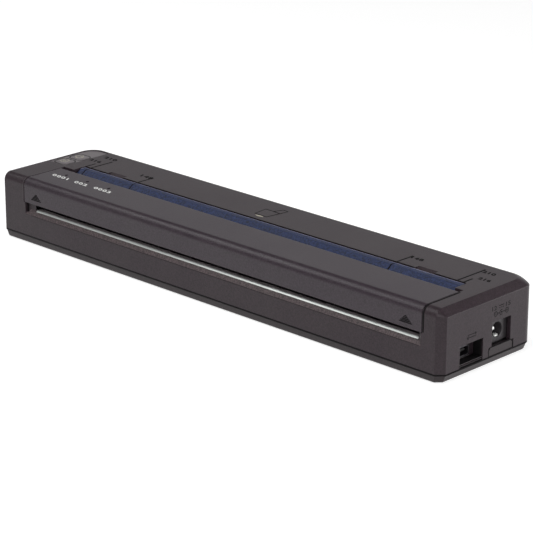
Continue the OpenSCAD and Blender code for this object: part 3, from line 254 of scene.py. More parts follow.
def mixColour(tree, factor, first, second):
    node = addNode(tree, "ShaderNodeMix", data_type="RGBA")
    join(tree, factor, node.inputs[0])
    for source, socket in ((first, node.inputs[6]), (second, node.inputs[7])):
        if isinstance(source, tuple):
            socket.default_value = source
        else:
            join(tree, source, socket)
    return node.outputs[2]


def shaded(colour, gain, lift=0.0):
    return tuple(min(c * gain + lift, 1.0) for c in colour[:3]) + (1.0,)


def bumpSkin(tree, shader, height, normal, look):
    # the fine relief of a skin, on the normal of its rounded edges
    bump = addNode(tree, "ShaderNodeBump")
    bump.inputs["Strength"].default_value = look["bump"]
    bump.inputs["Distance"].default_value = look["relief"] * mm
    join(tree, height, bump.inputs["Height"])
    join(tree, normal, bump.inputs["Normal"])
    join(tree, bump.outputs["Normal"], shader.inputs["Normal"])


# what a plastic or a metal has where its own look says nothing; edge and relief in mm
plainPlastic = {
    "scale": 1.0, "pits": 0.5, "edge": 0.25, "bump": 0.25, "relief": 0.05,
    "speck": 0.12,                       # share by which specks are darker or lighter
    "dust": 0.06, "dustTone": srgb(150, 146, 140),
    # share and brightness of the painted edge highlight, also standing for polish on handled corners
    "rubAndSheen": 0.35, "rubAndSheenGain": 1.5, "rubAndSheenLift": 0.01,
    "rough": 0.55, "roughLess": 0.05, "roughMore": 0.06, "specular": 0.5,
}
plainMetal = {
    "scale": 1.0, "stretch": 40.0, "edge": 0.12, "bump": 0.12, "relief": 0.03,
    "shade": 0.86,                       # of the streaks
    "rough": 0.3, "roughLess": 0.06, "roughMore": 0.08,
}
rubAndSheenSharpness = 3.0


def mouldedPlastic(name, ownLook):
    look = {**plainPlastic, **ownLook}
    made, tree, shader = startMaterial(name)
    grain = useGroup(tree, grainGroup, Scale=look["scale"], Pits=look["pits"])
    rubAndSheen = useGroup(tree, rubAndSheenGroup, Radius=look["edge"] * mm, Gain=rubAndSheenSharpness)
    specks = spread(tree, grain.outputs["Speck"], 0.0, 1.0)
    speckled = mixColour(tree, specks, shaded(look["colour"], 1 - look["speck"]),
                         shaded(look["colour"], 1 + look["speck"]))
    dusted = mixColour(tree, spread(tree, grain.outputs["Cloud"], 0.0, look["dust"]), speckled,
                       look["dustTone"])
    # corners lighter: painted highlight along the edges, also standing for polish where handled
    wornAndSheened = shaded(look["colour"], look["rubAndSheenGain"], look["rubAndSheenLift"])
    rubbedAndSheened = mixColour(tree, times(tree, rubAndSheen.outputs["Mask"], look["rubAndSheen"]), dusted, wornAndSheened)
    join(tree, rubbedAndSheened, shader.inputs["Base Color"])
    rough = spread(tree, grain.outputs["Speck"], look["rough"] - look["roughLess"],
                   look["rough"] + look["roughMore"])
    join(tree, rough, shader.inputs["Roughness"])
    shader.inputs["Specular IOR Level"].default_value = look["specular"]
    bumpSkin(tree, shader, grain.outputs["Height"], rubAndSheen.outputs["Normal"], look)
    return made


def workedMetal(name, ownLook):
    look = {**plainMetal, **ownLook}
    made, tree, shader = startMaterial(name)
    brush = useGroup(tree, brushGroup, Scale=look["scale"], Stretch=look["stretch"])
    rubAndSheen = useGroup(tree, rubAndSheenGroup, Radius=look["edge"] * mm, Gain=rubAndSheenSharpness)
    streaked = mixColour(tree, spread(tree, brush.outputs["Streak"], 0.0, 1.0),
                         shaded(look["colour"], look["shade"]), look["colour"])
    join(tree, streaked, shader.inputs["Base Color"])
    rough = spread(tree, brush.outputs["Height"], look["rough"] - look["roughLess"],
                   look["rough"] + look["roughMore"])
    join(tree, rough, shader.inputs["Roughness"])
    shader.inputs["Metallic"].default_value = 1.0
    bumpSkin(tree, shader, brush.outputs["Height"], rubAndSheen.outputs["Normal"], look)
    return made


plasticLooks = {
    "case_black": {"colour": srgb(48, 37, 44), "rough": 0.36, "specular": 0.26, "speck": 0.55,
                   "bump": 0.6},
    # lighter than the case: painted highlight on the ramp, with a coarser grain
    "slope_grain": {"colour": srgb(71, 59, 62), "rough": 0.42, "specular": 0.42, "speck": 0.95,
                    "bump": 1.0},
    "tray_black": {"colour": srgb(38, 28, 33), "rough": 0.4, "specular": 0.33, "speck": 0.7,
                   "bump": 0.6},
    "cover_grey": {"colour": srgb(52, 42, 51), "rough": 0.34, "specular": 0.35, "speck": 0.55,
                   "bump": 0.6},
    "guide_blue": {"colour": srgb(33, 45, 80), "rough": 0.45, "specular": 0.2, "speck": 0.85,
                   "bump": 0.7, "scale": 0.7},
    "key_grey": {"colour": srgb(122, 116, 119), "rough": 0.45, "specular": 0.4, "pits": 0.2,
                 "bump": 0.12},
    "roller_rubber": {"colour": srgb(30, 30, 31), "rough": 0.75, "pits": 0.3},
    "foot_rubber": {"colour": srgb(34, 34, 35), "rough": 0.8},
    "gear_white": {"colour": srgb(226, 223, 212), "rough": 0.4, "speck": 0.03, "bump": 0.08},
    "bush_white": {"colour": srgb(232, 228, 214), "rough": 0.4, "speck": 0.03, "bump": 0.08},
    "lens_clear": {"colour": srgb(44, 42, 44), "rough": 0.2, "speck": 0.05, "bump": 0.05},
    "strip_ceramic": {"colour": srgb(228, 228, 222), "rough": 0.25, "speck": 0.03, "bump": 0.05},
    "black_plastic": {"colour": srgb(30, 30, 31), "rough": 0.45},
    "board_green": {"colour": srgb(28, 92, 56), "rough": 0.3, "speck": 0.08, "bump": 0.08},
    "cable_film": {"colour": srgb(214, 206, 178), "rough": 0.3, "speck": 0.03},
    "battery_wrap": {"colour": srgb(38, 42, 56), "rough": 0.35, "pits": 0.2, "bump": 0.1},
    "jack_black": {"colour": srgb(54, 50, 54), "rough": 0.5},
    # pale colour: painted light for the ledge in the cover's shade
    "ledge_painted_light": {"colour": srgb(190, 180, 184), "rough": 0.5},
    # colour of the painted highlight on the guide's crest
    "highlight_lilac": {"colour": srgb(146, 146, 174), "rough": 0.5, "speck": 0.2},
    # dark inks for print, also used as painted shadow in gaps, seams, the slit and along the ramp
    "ink_and_shadow_black": {"colour": srgb(16, 13, 15), "rough": 0.7, "specular": 0.15, "dust": 0.0, "rubAndSheen": 0.0},
    "ink_and_shadow_soft": {"colour": srgb(24, 20, 22), "rough": 0.6, "specular": 0.2, "dust": 0.0, "rubAndSheen": 0.0},
    "ink_white": {"colour": srgb(232, 233, 230), "rough": 0.6, "speck": 0.03, "dust": 0.0, "rubAndSheen": 0.0},
    # cream for printed symbols, and for a painted highlight on the page symbol
    "ink_and_highlight_cream": {"colour": srgb(196, 190, 172), "rough": 0.6, "speck": 0.05, "dust": 0.0, "rubAndSheen": 0.0},
    # colour of the painted shade round the keys
    "film_shade": {"colour": srgb(54, 50, 52), "rough": 0.5, "pits": 0.2, "bump": 0.1},
    # black for the socket's bezel, and painted shade on the recess's floor and side
    "socket_black_and_shade": {"colour": srgb(14, 12, 14), "rough": 0.6, "specular": 0.2, "dust": 0.02},
    "socket_edge": {"colour": srgb(74, 68, 71), "rough": 0.45, "dust": 0.02},
    "capacitor_tan": {"colour": srgb(150, 122, 92), "rough": 0.4, "speck": 0.1},
    "heater_brown": {"colour": srgb(74, 52, 40), "rough": 0.25, "speck": 0.08, "bump": 0.05},
    "wrap_dark": {"colour": srgb(24, 26, 36), "rough": 0.35, "bump": 0.1},
}
metalLooks = {
    "bright_steel": {"colour": srgb(226, 230, 227), "rough": 0.3},
    "sheet_steel": {"colour": srgb(196, 198, 200), "rough": 0.38},
    "screw_steel": {"colour": srgb(190, 190, 194), "rough": 0.32, "stretch": 4.0},
    "spring_steel": {"colour": srgb(198, 198, 202), "rough": 0.28, "stretch": 4.0},
    "sink_aluminium": {"colour": srgb(214, 216, 218), "rough": 0.36},
    "pinion_brass": {"colour": srgb(206, 170, 98), "rough": 0.3, "stretch": 4.0},
    "contact_gold": {"colour": srgb(222, 184, 100), "rough": 0.26, "stretch": 4.0},
    "blade_steel": {"colour": srgb(232, 236, 233), "rough": 0.62, "bump": 0.05},
    "contact_bright": {"colour": srgb(246, 247, 245), "rough": 0.5, "stretch": 4.0},
    "shell_nickel": {"colour": srgb(96, 94, 98), "rough": 0.45},
}
finish = {name: mouldedPlastic(name, look) for name, look in plasticLooks.items()}
finish.update({name: workedMetal(name, look) for name, look in metalLooks.items()})

ownFinish = {"usb_shell": "shell_nickel", "jack_pin": "contact_bright", "jack_spring": "contact_bright"}
for name, obj in frame["nodes"].items():
    obj.data.materials.clear()
    obj.data.materials.append(finish[ownFinish.get(name, nodeSlot[name])])

# the ramp below the exit slot has a coarser skin and a lighter colour that is painted highlight: faces
# in this band (mm) that look up and forward
rampBand = {"front": -25.8, "low": 13.7, "high": 16.4, "tilt": 0.3}
caseMesh = frame["nodes"]["upper_case"].data
caseMesh.materials.append(finish["slope_grain"])
for face in caseMesh.polygons:
    middle = face.center / mm
    tilted = face.normal.z > rampBand["tilt"] and face.normal.y < -rampBand["tilt"]
    if tilted and middle.y < rampBand["front"] and rampBand["low"] < middle.z < rampBand["high"]:
        face.material_index = 1
print("finishes made:", len(finish))


# small pieces: trees of Geometry Nodes that several of them share
def newTree(name, inputs):
    tree = bpy.data.node_groups.new(name, "GeometryNodeTree")
    tree.interface.new_socket("Geometry", in_out="INPUT", socket_type="NodeSocketGeometry")
    for label, value in inputs.items():
        kind = "NodeSocketFloat" if isinstance(value, float) else value
        socket = tree.interface.new_socket(label, in_out="INPUT", socket_type=kind)
        if isinstance(value, float):
            socket.default_value = value
    tree.interface.new_socket("Geometry", in_out="OUTPUT", socket_type="NodeSocketGeometry")
    return tree, tree.nodes.new("NodeGroupInput"), tree.nodes.new("NodeGroupOutput")


def closeTree(tree, source, result, shape):
    real = addNode(tree, "GeometryNodeRealizeInstances")
    join(tree, shape, real.inputs["Geometry"])
    paint = addNode(tree, "GeometryNodeSetMaterial")
    join(tree, real.outputs["Geometry"], paint.inputs["Geometry"])
    join(tree, source.outputs["Finish"], paint.inputs["Material"])
    join(tree, paint.outputs["Geometry"], result.inputs["Geometry"])


def sweepBar(tree, source, path, width, height):
    # a bar of even section along a path that lies flat in XY or rises out of it
    level = addNode(tree, "GeometryNodeSetCurveNormal", mode="Z_UP")
    join(tree, path, level.inputs["Curve"])
    section = addNode(tree, "GeometryNodeCurvePrimitiveQuadrilateral")
    join(tree, source.outputs[width], section.inputs["Width"])
    join(tree, source.outputs[height], section.inputs["Height"])
    sweep = addNode(tree, "GeometryNodeCurveToMesh")
    sweep.inputs["Fill Caps"].default_value = True
    join(tree, level.outputs["Curve"], sweep.inputs["Curve"])
    join(tree, section.outputs["Curve"], sweep.inputs["Profile Curve"])
    return sweep.outputs["Mesh"]


def makeStrokeTree():
    tree, source, result = newTree(
        "strokeAlongPaths", {"Width": 0.0004, "Height": 0.0001, "Finish": "NodeSocketMaterial"})
    paths = addNode(tree, "GeometryNodeMeshToCurve")
    join(tree, source.outputs["Geometry"], paths.inputs["Mesh"])
    closeTree(tree, source, result, sweepBar(tree, source, paths.outputs["Curve"], "Width", "Height"))
    return tree


def makeLegTree():
    # one bent leg for every point of the mesh, turned by the point's own angle
    tree, source, result = newTree(
        "bentLegs", {"Reach": 0.0009, "Rise": 0.0004, "Width": 0.0003, "Height": 0.00012,
                     "Finish": "NodeSocketMaterial"})
    knots = addNode(tree, "GeometryNodeMeshLine", mode="OFFSET")
    knots.inputs["Count"].default_value = 4        # two raised, two on the board
    knots.inputs["Offset"].default_value = (0, 0, 0)
    step = addNode(tree, "GeometryNodeInputIndex")
    along = addNode(tree, "ShaderNodeMapRange")
    for label, value in (("From Min", 0.0), ("From Max", 3.0), ("To Min", 0.0)):
        along.inputs[label].default_value = value
    join(tree, step.outputs[0], along.inputs["Value"])
    join(tree, source.outputs["Reach"], along.inputs["To Max"])
    raised = addNode(tree, "ShaderNodeMath", operation="LESS_THAN", in_1=1.5)
    join(tree, step.outputs[0], raised.inputs[0])
    spot = addNode(tree, "ShaderNodeCombineXYZ")
    join(tree, along.outputs["Result"], spot.inputs[0])
    join(tree, times(tree, raised.outputs[0], source.outputs["Rise"]), spot.inputs[2])
    bend = addNode(tree, "GeometryNodeSetPosition")
    join(tree, knots.outputs["Mesh"], bend.inputs["Geometry"])
    join(tree, spot.outputs[0], bend.inputs["Position"])
    path = addNode(tree, "GeometryNodeMeshToCurve")
    join(tree, bend.outputs["Geometry"], path.inputs["Mesh"])
    leg = sweepBar(tree, source, path.outputs["Curve"], "Width", "Height")
    angle = addNode(tree, "GeometryNodeInputNamedAttribute", data_type="FLOAT")
    angle.inputs["Name"].default_value = "turn"
    turn = addNode(tree, "ShaderNodeCombineXYZ")
    join(tree, angle.outputs["Attribute"], turn.inputs[2])
    place = addNode(tree, "GeometryNodeInstanceOnPoints")
    join(tree, source.outputs["Geometry"], place.inputs["Points"])
    join(tree, leg, place.inputs["Instance"])
    join(tree, turn.outputs[0], place.inputs["Rotation"])
    closeTree(tree, source, result, place.outputs["Instances"])
    return tree


# how uneven the small board parts are: radians that one turns, and share of full size that it keeps
unevenParts = {"askew": 0.06, "smallest": (0.6, 0.8, 0.8)}


def makeScatterTree():
    # one soft edged block for every point, of uneven length and a little askew
    tree, source, result = newTree(
        "smallParts", {"Length": 0.0016, "Width": 0.0008, "Height": 0.00045, "Seed": 5.0,
                       "Finish": "NodeSocketMaterial"})
    size = addNode(tree, "ShaderNodeCombineXYZ")
    for label, socket in (("Length", 0), ("Width", 1), ("Height", 2)):
        join(tree, source.outputs[label], size.inputs[socket])
    block = addNode(tree, "GeometryNodeMeshCube")
    for label in ("Vertices X", "Vertices Y", "Vertices Z"):
        block.inputs[label].default_value = 3
    join(tree, size.outputs[0], block.inputs["Size"])
    soft = addNode(tree, "GeometryNodeSubdivisionSurface")
    soft.inputs["Level"].default_value = 1
    join(tree, block.outputs["Mesh"], soft.inputs["Mesh"])
    place = addNode(tree, "GeometryNodeInstanceOnPoints")
    join(tree, source.outputs["Geometry"], place.inputs["Points"])
    join(tree, soft.outputs["Mesh"], place.inputs["Instance"])
    askew = unevenParts["askew"]
    for target, low, high in (("Rotation", (0, 0, -askew), (0, 0, askew)),
                              ("Scale", unevenParts["smallest"], (1, 1, 1))):
        draw = addNode(tree, "FunctionNodeRandomValue", data_type="FLOAT_VECTOR")
        draw.inputs[0].default_value = low
        draw.inputs[1].default_value = high
        join(tree, source.outputs["Seed"], draw.inputs["Seed"])
        join(tree, draw.outputs["Value"], place.inputs[target])
    closeTree(tree, source, result, place.outputs["Instances"])
    return tree


strokeTree = makeStrokeTree()
legTree = makeLegTree()
scatterTree = makeScatterTree()


# where a drawing is laid; its dictionary's level is in mm
def onTop(level):
    # drawn as (x, y) on a plane of constant z
    return lambda p: Vector((p.x, p.y, p.z + level * mm))


def onEnd(level):
    # drawn as (y, z) on a plane of constant x
    return lambda p: Vector((p.z + level * mm, p.x, p.y))


def onSide(level):
    # drawn as (x, z) on a plane of constant y
    return lambda p: Vector((p.x, p.z + level * mm, p.y))


sameSpot = 1e-7        # metres within which two points are one


def settle(obj, place, body):
    # one clean closed mesh, moved to its place, that rides on its body
    shape = bmesh.new()
    shape.from_mesh(obj.data)
    bmesh.ops.remove_doubles(shape, verts=shape.verts, dist=sameSpot)
    for vertex in shape.verts:
        vertex.co = place(vertex.co)
    bmesh.ops.recalc_face_normals(shape, faces=shape.faces)
    if shape.calc_volume(signed=True) < 0:
        bmesh.ops.reverse_faces(shape, faces=shape.faces)
    for face in shape.faces:
        face.material_index = 0
    paint = [m for m in obj.data.materials if m][0]
    shape.to_mesh(obj.data)
    shape.free()
    obj.data.materials.clear()
    obj.data.materials.append(paint)
    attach(obj, body)
    return obj


def grow(name, mesh, tree, values, place, body):
    obj = addObject(name, mesh)
    builder = obj.modifiers.new("builder", "NODES")
    builder.node_group = tree
    for item in tree.interface.items_tree:
        if item.in_out == "INPUT" and item.name in values:
            builder[item.identifier] = values[item.name]
    seen = obj.evaluated_get(bpy.context.evaluated_depsgraph_get())
    made = bpy.data.meshes.new_from_object(seen)
    made.name = name
    obj.modifiers.remove(builder)
    obj.data = made
    return settle(obj, place, body)


def drawStrokes(name, look, plane, body):
    # bars of even section along each path; a path that ends where it starts is closed
    points, edges = [], []
    for path in look["paths"]:
        first = len(points)
        closed = path[0] == path[-1]
        spots = path[:-1] if closed else path
        points += [(u * mm, v * mm, 0) for u, v in spots]
        edges += [(first + i, first + i + 1) for i in range(len(spots) - 1)]
        if closed:
            edges.append((len(points) - 1, first))
    mesh = bpy.data.meshes.new(name)
    mesh.from_pydata(points, edges, [])
    values = {"Width": look["width"] * mm, "Height": look["height"] * mm,
              "Finish": finish[look["finish"]]}
    return grow(name, mesh, strokeTree, values, plane(look["level"]), body)


def cutPlate(name, look, plane, body):
    # flat plates from outlines; the second and later loops of a plate are its holes
    shape = bmesh.new()
    for loops in look["plates"]:
        rim = []
        for loop in loops:
            spots = [shape.verts.new((u * mm, v * mm, -look["height"] / 2 * mm)) for u, v in loop]
            rim += [shape.edges.new((spots[i - 1], spots[i])) for i in range(len(spots))]
        flat = bmesh.ops.triangle_fill(shape, edges=rim, use_beauty=True, use_dissolve=False)
        faces = [g for g in flat["geom"] if isinstance(g, bmesh.types.BMFace)]
        raised = bmesh.ops.extrude_face_region(shape, geom=faces, use_keep_orig=True)
        top = [g for g in raised["geom"] if isinstance(g, bmesh.types.BMVert)]
        bmesh.ops.translate(shape, verts=top, vec=(0, 0, look["height"] * mm))
    mesh = bpy.data.meshes.new(name)
    shape.to_mesh(mesh)
    shape.free()
    mesh.materials.append(finish[look["finish"]])
    return settle(addObject(name, mesh), plane(look["level"]), body)


figureSteps = 3        # curve steps in each round of a figure


def writeFigures(name, look, plane, body):
    # plain figures: each row of them gives its text, middle, width and height
    joined = bmesh.new()
    for text, u, v, width, height in look["figures"]:
        curve = bpy.data.curves.new(name, "FONT")
        curve.body = text
        curve.shear = look["slant"]
        curve.space_character = look["space"]
        curve.offset = look["weight"]
        curve.extrude = 0.5        # any depth: the box below sets it
        curve.resolution_u = figureSteps
        line = addObject(name, curve)
        seen = line.evaluated_get(bpy.context.evaluated_depsgraph_get())
        made = bpy.data.meshes.new_from_object(seen)
        bpy.data.objects.remove(line)
        low = [min(p.co[k] for p in made.vertices) for k in range(3)]
        high = [max(p.co[k] for p in made.vertices) for k in range(3)]
        want = (width, height, look["height"])
        for p in made.vertices:
            p.co = [((p.co[k] - low[k]) / (high[k] - low[k]) - 0.5) * want[k] * mm for k in range(3)]
            p.co += Vector((u, v, 0)) * mm
        joined.from_mesh(made)
        bpy.data.meshes.remove(made)
    mesh = bpy.data.meshes.new(name)
    joined.to_mesh(mesh)
    joined.free()
    mesh.materials.append(finish[look["finish"]])
    return settle(addObject(name, mesh), plane(look["level"]), body)


def ringPath(u, v, radius, first=0.0, last=360.0, steps=28):
    spots = []
    for i in range(steps + 1):
        a = math.radians(first + (last - first) * i / steps)
        spots.append((u + radius * math.cos(a), v + radius * math.sin(a)))
    if last - first >= 360:
        spots[-1] = spots[0]
    return spots


def roundedPath(u0, u1, v0, v1, radius, steps=5):
    spots = []
    for u, v, start in ((u1 - radius, v1 - radius, 0), (u0 + radius, v1 - radius, 90),
                        (u0 + radius, v0 + radius, 180), (u1 - radius, v0 + radius, 270)):
        for i in range(steps + 1):
            a = math.radians(start + 90 * i / steps)
            spots.append((u + radius * math.cos(a), v + radius * math.sin(a)))
    return spots + spots[:1]


# painted paper lines behind the guide, and the same lines carried over the guide
paperLines = {
    "level": 29.935, "width": 0.85, "height": 0.17, "finish": "ink_and_shadow_black",
    "places": (-105.3, -102.0, -71.3, 78.1, 109.0, 112.1),
    "lengths": (6.0, 13.0, 8.7, 10.0, 17.3, 5.6),
    "from": 3.25,
}
paperLines["paths"] = [[(x, paperLines["from"]), (x, paperLines["from"] + length)]
                       for x, length in zip(paperLines["places"], paperLines["lengths"])]
drawStrokes("paperLines", paperLines, onTop, "housing")
guideLines = {
    "width": 0.16, "height": 0.6, "finish": "ink_and_shadow_black",
    "places": (-102.0, -71.3, 78.1),
    "paths": [[(-3.3, 27.03), (0.3, 29.74), (2.68, 29.74)]],     # ramp, then crest
}
for number, x in enumerate(guideLines["places"]):
    drawStrokes("guideLine" + str(number + 1), {**guideLines, "level": x}, onEnd, "housing")

# figures: paper widths in millimetres behind the guide and plain numbers by the three lamps
widthFigures = {
    "level": 29.99, "height": 0.06, "finish": "ink_and_shadow_black",
    "slant": -0.2, "weight": 0.05, "space": 1.15,
    "figures": (("216", -108.8, 12.2, 7.6, 2.5), ("210", -106.2, 19.0, 8.2, 2.6),
                ("148", -74.4, 11.6, 8.2, 2.5), ("148", 81.6, 11.8, 6.6, 2.5),
                ("210", 112.6, 18.3, 6.6, 2.5), ("216", 116.1, 11.3, 6.2, 2.5)),
}
writeFigures("widthFigures", widthFigures, onTop, "housing")
lampFigures = {
    "level": 29.99, "height": 0.06, "finish": "ink_white",
    "slant": -0.35, "weight": 0.04, "space": 1.2,
    "figures": (("0001", -101.2, -14.8, 11.0, 2.5), ("002", -87.5, -15.1, 8.8, 2.5),
                ("0003", -74.0, -14.9, 11.0, 2.5)),
}
writeFigures("lampFigures", lampFigures, onTop, "cover")

# page symbol with a lifted corner
pageSymbol = {
    "level": 29.99, "width": 0.6, "height": 0.06, "finish": "ink_and_shadow_black",
    "paths": [[(-4.6, 8.2), (-5.4, 15.4), (-0.6, 15.4), (0.9, 19.7), (3.9, 19.2), (3.3, 14.9),
               (2.2, 8.0), (-4.6, 8.2)],
              [(-0.6, 15.4), (3.3, 14.9)]],
}
drawStrokes("pageSymbol", pageSymbol, onTop, "housing")
# pale facet at the lifted corner: painted highlight
pageCornerHighlight = {
    "level": 29.99, "height": 0.06, "finish": "ink_and_highlight_cream",
    "plates": [[[(-3.5, 7.0), (-1.2, 6.2), (1.6, 7.0), (-0.1, 7.6)]]],
}
cutPlate("pageCornerHighlight", pageCornerHighlight, onTop, "housing")

# keys: a darker rim on the film round each, painted shade of the keys' slopes, and their symbols
keyRimShade = {
    "level": 29.66, "width": 0.6, "height": 0.04, "finish": "film_shade",
    "ends": (-123.15, -114.25), "middles": (2.8, 11.7), "halfDepth": 3.75, "corner": 2.6,
}
keyRimShade["paths"] = [roundedPath(*keyRimShade["ends"], v - keyRimShade["halfDepth"], v + keyRimShade["halfDepth"],
                                keyRimShade["corner"]) for v in keyRimShade["middles"]]
drawStrokes("keyRimShade", keyRimShade, onTop, "housing")
powerSymbol = {
    "level": 29.94, "width": 0.5, "height": 0.06, "finish": "ink_and_highlight_cream",
    "paths": [ringPath(-118.7, 11.5, 1.75, 125, 415), [(-118.7, 12.0), (-118.7, 13.9)]],
}
drawStrokes("powerSymbol", powerSymbol, onTop, "power_button")
feedSymbol = {
    "level": 29.94, "width": 0.42, "height": 0.06, "finish": "ink_and_highlight_cream",
    "paths": [[(-120.7, 1.5), (-120.7, 4.9), (-118.4, 4.9), (-117.2, 3.8), (-117.2, 1.5), (-120.7, 1.5)],
              [(-118.95, 0.6), (-118.95, 3.4)], [(-119.8, 2.6), (-118.95, 3.5), (-118.1, 2.6)]],
}
drawStrokes("feedSymbol", feedSymbol, onTop, "feed_button")

# painted shadow as dark lines in the seams at both ends of the cover: along the top, round the bend,
# down the front
seamShadeLines = {
    "width": 0.14, "height": 0.62, "finish": "ink_and_shadow_black",
    "back": (-6.3, 29.95), "bend": (-24.0, 26.5, 3.45), "foot": (-27.45, 19.6),
}
seamShadeLines["paths"] = [[seamShadeLines["back"], (seamShadeLines["bend"][0], seamShadeLines["back"][1]),
                       *ringPath(*seamShadeLines["bend"], 100, 180, steps=8), seamShadeLines["foot"]]]
seamShadeLeft = {**seamShadeLines, "level": -111.98, "finish": "case_black"}
drawStrokes("seamShadeLeft", seamShadeLeft, onEnd, "housing")
seamShadeRight = {**seamShadeLines, "level": 118.48, "width": 0.16, "height": 0.8}
drawStrokes("seamShadeRight", seamShadeRight, onEnd, "housing")

# the shadow in the parting groove, round the rim of the upper case and just proud of it
partingLine = {
    "level": 3.86, "width": 0.3, "height": 0.7, "finish": "ink_and_shadow_black",
    "rimFrom": 4.0, "rimTo": 4.7,          # heights between which the case's rim is read
    "inset": (0.9991, 0.9957),
}
rimSpots = []
for vertex in frame["nodes"]["upper_case"].data.vertices:
    x, y, z = (c / mm for c in vertex.co)
    if partingLine["rimFrom"] < z < partingLine["rimTo"]:
        rimSpots.append((round(x, 2), round(y, 2)))
rimOrder = geometry.convex_hull_2d([Vector(spot) for spot in rimSpots])
partingLine["paths"] = [[tuple(c * share for c, share in zip(rimSpots[i], partingLine["inset"]))
                         for i in rimOrder + rimOrder[:1]]]
drawStrokes("partingLine", partingLine, onTop, "housing")

# painted shadow in the gap behind the guide
guideGapShadow = {
    "level": 29.955, "width": 0.5, "height": 0.12, "finish": "ink_and_shadow_black",
    "paths": [[(-104.9, 3.4), (-90.95, 3.4)], [(-80.65, 3.4), (87.35, 3.4)],     # the tabs stand between
              [(97.65, 3.4), (113.4, 3.4)]],
}
drawStrokes("guideGapShadow", guideGapShadow, onTop, "housing")

# painted highlight along the guide's crest, and rows of paint in the two feed arrows
guideCrestHighlight = {
    "level": 29.8, "width": 0.3, "height": 0.05, "finish": "highlight_lilac",
    "paths": [[(-104.6, 2.45), (113.0, 2.45)], [(-104.95, 0.3), (-104.95, 2.4)]],
}
drawStrokes("guideCrestHighlight", guideCrestHighlight, onTop, "housing")
feedArrows = {
    "level": -27.47, "width": 0.36, "height": 0.12, "finish": "ink_and_shadow_black",
    "middles": (-103.4, 109.8), "rows": 5, "low": 21.35, "step": 0.62, "half": 3.3,
}
feedArrows["paths"] = []
for x in feedArrows["middles"]:
    for row in range(feedArrows["rows"]):
        half = feedArrows["half"] * (1 - row / feedArrows["rows"])
        v = feedArrows["low"] + row * feedArrows["step"]
        feedArrows["paths"].append([(x - half, v), (x + half, v)])
drawStrokes("feedArrows", feedArrows, onSide, "cover")

# right end: painted shadow as a dark line in the gap round the tray's tab, symbols over both sockets
tabGapShadow = {
    "level": 127.47, "width": 0.5, "height": 0.1, "finish": "ink_and_shadow_black",
    "paths": [[(0.8, 4.3), (0.8, 6.6), (1.9, 7.75), (14.5, 7.75), (15.6, 6.7), (15.6, 4.3)]],
}
drawStrokes("tabGapShadow", tabGapShadow, onEnd, "housing")
supplyFigures = {
    "level": 127.49, "height": 0.06, "finish": "ink_and_shadow_soft",
    "slant": 0.0, "weight": 0.03, "space": 1.1,
    "figures": (("12", 3.6, 23.2, 2.9, 1.8), ("15", 11.9, 23.2, 2.9, 1.8)),
}
writeFigures("supplyFigures", supplyFigures, onEnd, "housing")
supplySymbols = {
    "level": 127.49, "width": 0.36, "height": 0.06, "finish": "ink_and_shadow_soft",
    "paths": [[(6.4, 23.6), (9.4, 23.6)], [(6.4, 22.7), (7.2, 22.7)], [(7.5, 22.7), (8.3, 22.7)],
              [(8.6, 22.7), (9.4, 22.7)],
              ringPath(4.5, 20.7, 0.95, steps=18), ringPath(7.8, 20.7, 0.95, 50, 310, steps=16),
              ringPath(11.2, 20.7, 0.95, steps=18), ringPath(7.8, 20.7, 0.25, steps=8),
              [(4.1, 20.7), (4.9, 20.7)], [(10.75, 20.7), (11.65, 20.7)], [(11.2, 20.25), (11.2, 21.15)],
              [(5.5, 20.7), (6.9, 20.7)], [(8.1, 20.7), (10.2, 20.7)]],
}
drawStrokes("supplySymbols", supplySymbols, onEnd, "housing")
dataSymbol = {
    "level": 127.49, "width": 0.34, "height": 0.06, "finish": "ink_and_shadow_soft",
    "paths": [[(-12.3, 15.3), (-7.2, 15.3)], [(-11.5, 15.9), (-12.3, 15.3), (-11.5, 14.7)],
              [(-12.0, 16.4), (-6.9, 16.4)], [(-7.7, 17.0), (-6.9, 16.4), (-7.7, 15.8)]],
}
drawStrokes("dataSymbol", dataSymbol, onEnd, "housing")

# data socket: a black bezel behind the recess, the frames round the shell, and painted shade as a dark
# floor and a dark side wall in the recess
socketBezel = {
    "level": 122.7, "height": 0.3, "finish": "socket_black_and_shade",
    "plates": [[[(-16.35, 5.3), (-2.95, 5.3), (-2.95, 12.95), (-16.35, 12.95)],
                roundedPath(-13.9, -5.4, 5.75, 10.45, 1.1)[:-1]]],
}
cutPlate("socketBezel", socketBezel, onEnd, "housing")
socketFrames = {
    "level": 122.93, "width": 0.22, "height": 0.22, "finish": "socket_edge",
    "paths": [roundedPath(-14.35, -4.95, 5.65, 10.9, 1.3), roundedPath(-15.1, -4.2, 5.55, 11.6, 1.5)],
}
drawStrokes("socketFrames", socketFrames, onEnd, "housing")
socketFloorShade = {
    "level": 5.36, "height": 0.3, "finish": "socket_black_and_shade",
    "plates": [[[(122.85, -16.3), (127.0, -16.3), (127.0, -2.95), (122.85, -2.95)]]],
}
cutPlate("socketFloorShade", socketFloorShade, onTop, "housing")
socketSideShade = {
    "level": -3.16, "height": 0.1, "finish": "socket_black_and_shade",
    "plates": [[[(122.85, 5.5), (127.1, 5.5), (127.1, 12.9), (122.85, 12.9)]]],
}
cutPlate("socketSideShade", socketSideShade, onSide, "housing")
socketLedge = {
    "level": 127.2, "width": 0.2, "height": 0.12, "finish": "socket_edge",
    "paths": [[(-16.2, 5.5), (-3.05, 5.5)], [(-16.2, 4.75), (-3.05, 4.75)]],
}
drawStrokes("socketLedge", socketLedge, onEnd, "housing")

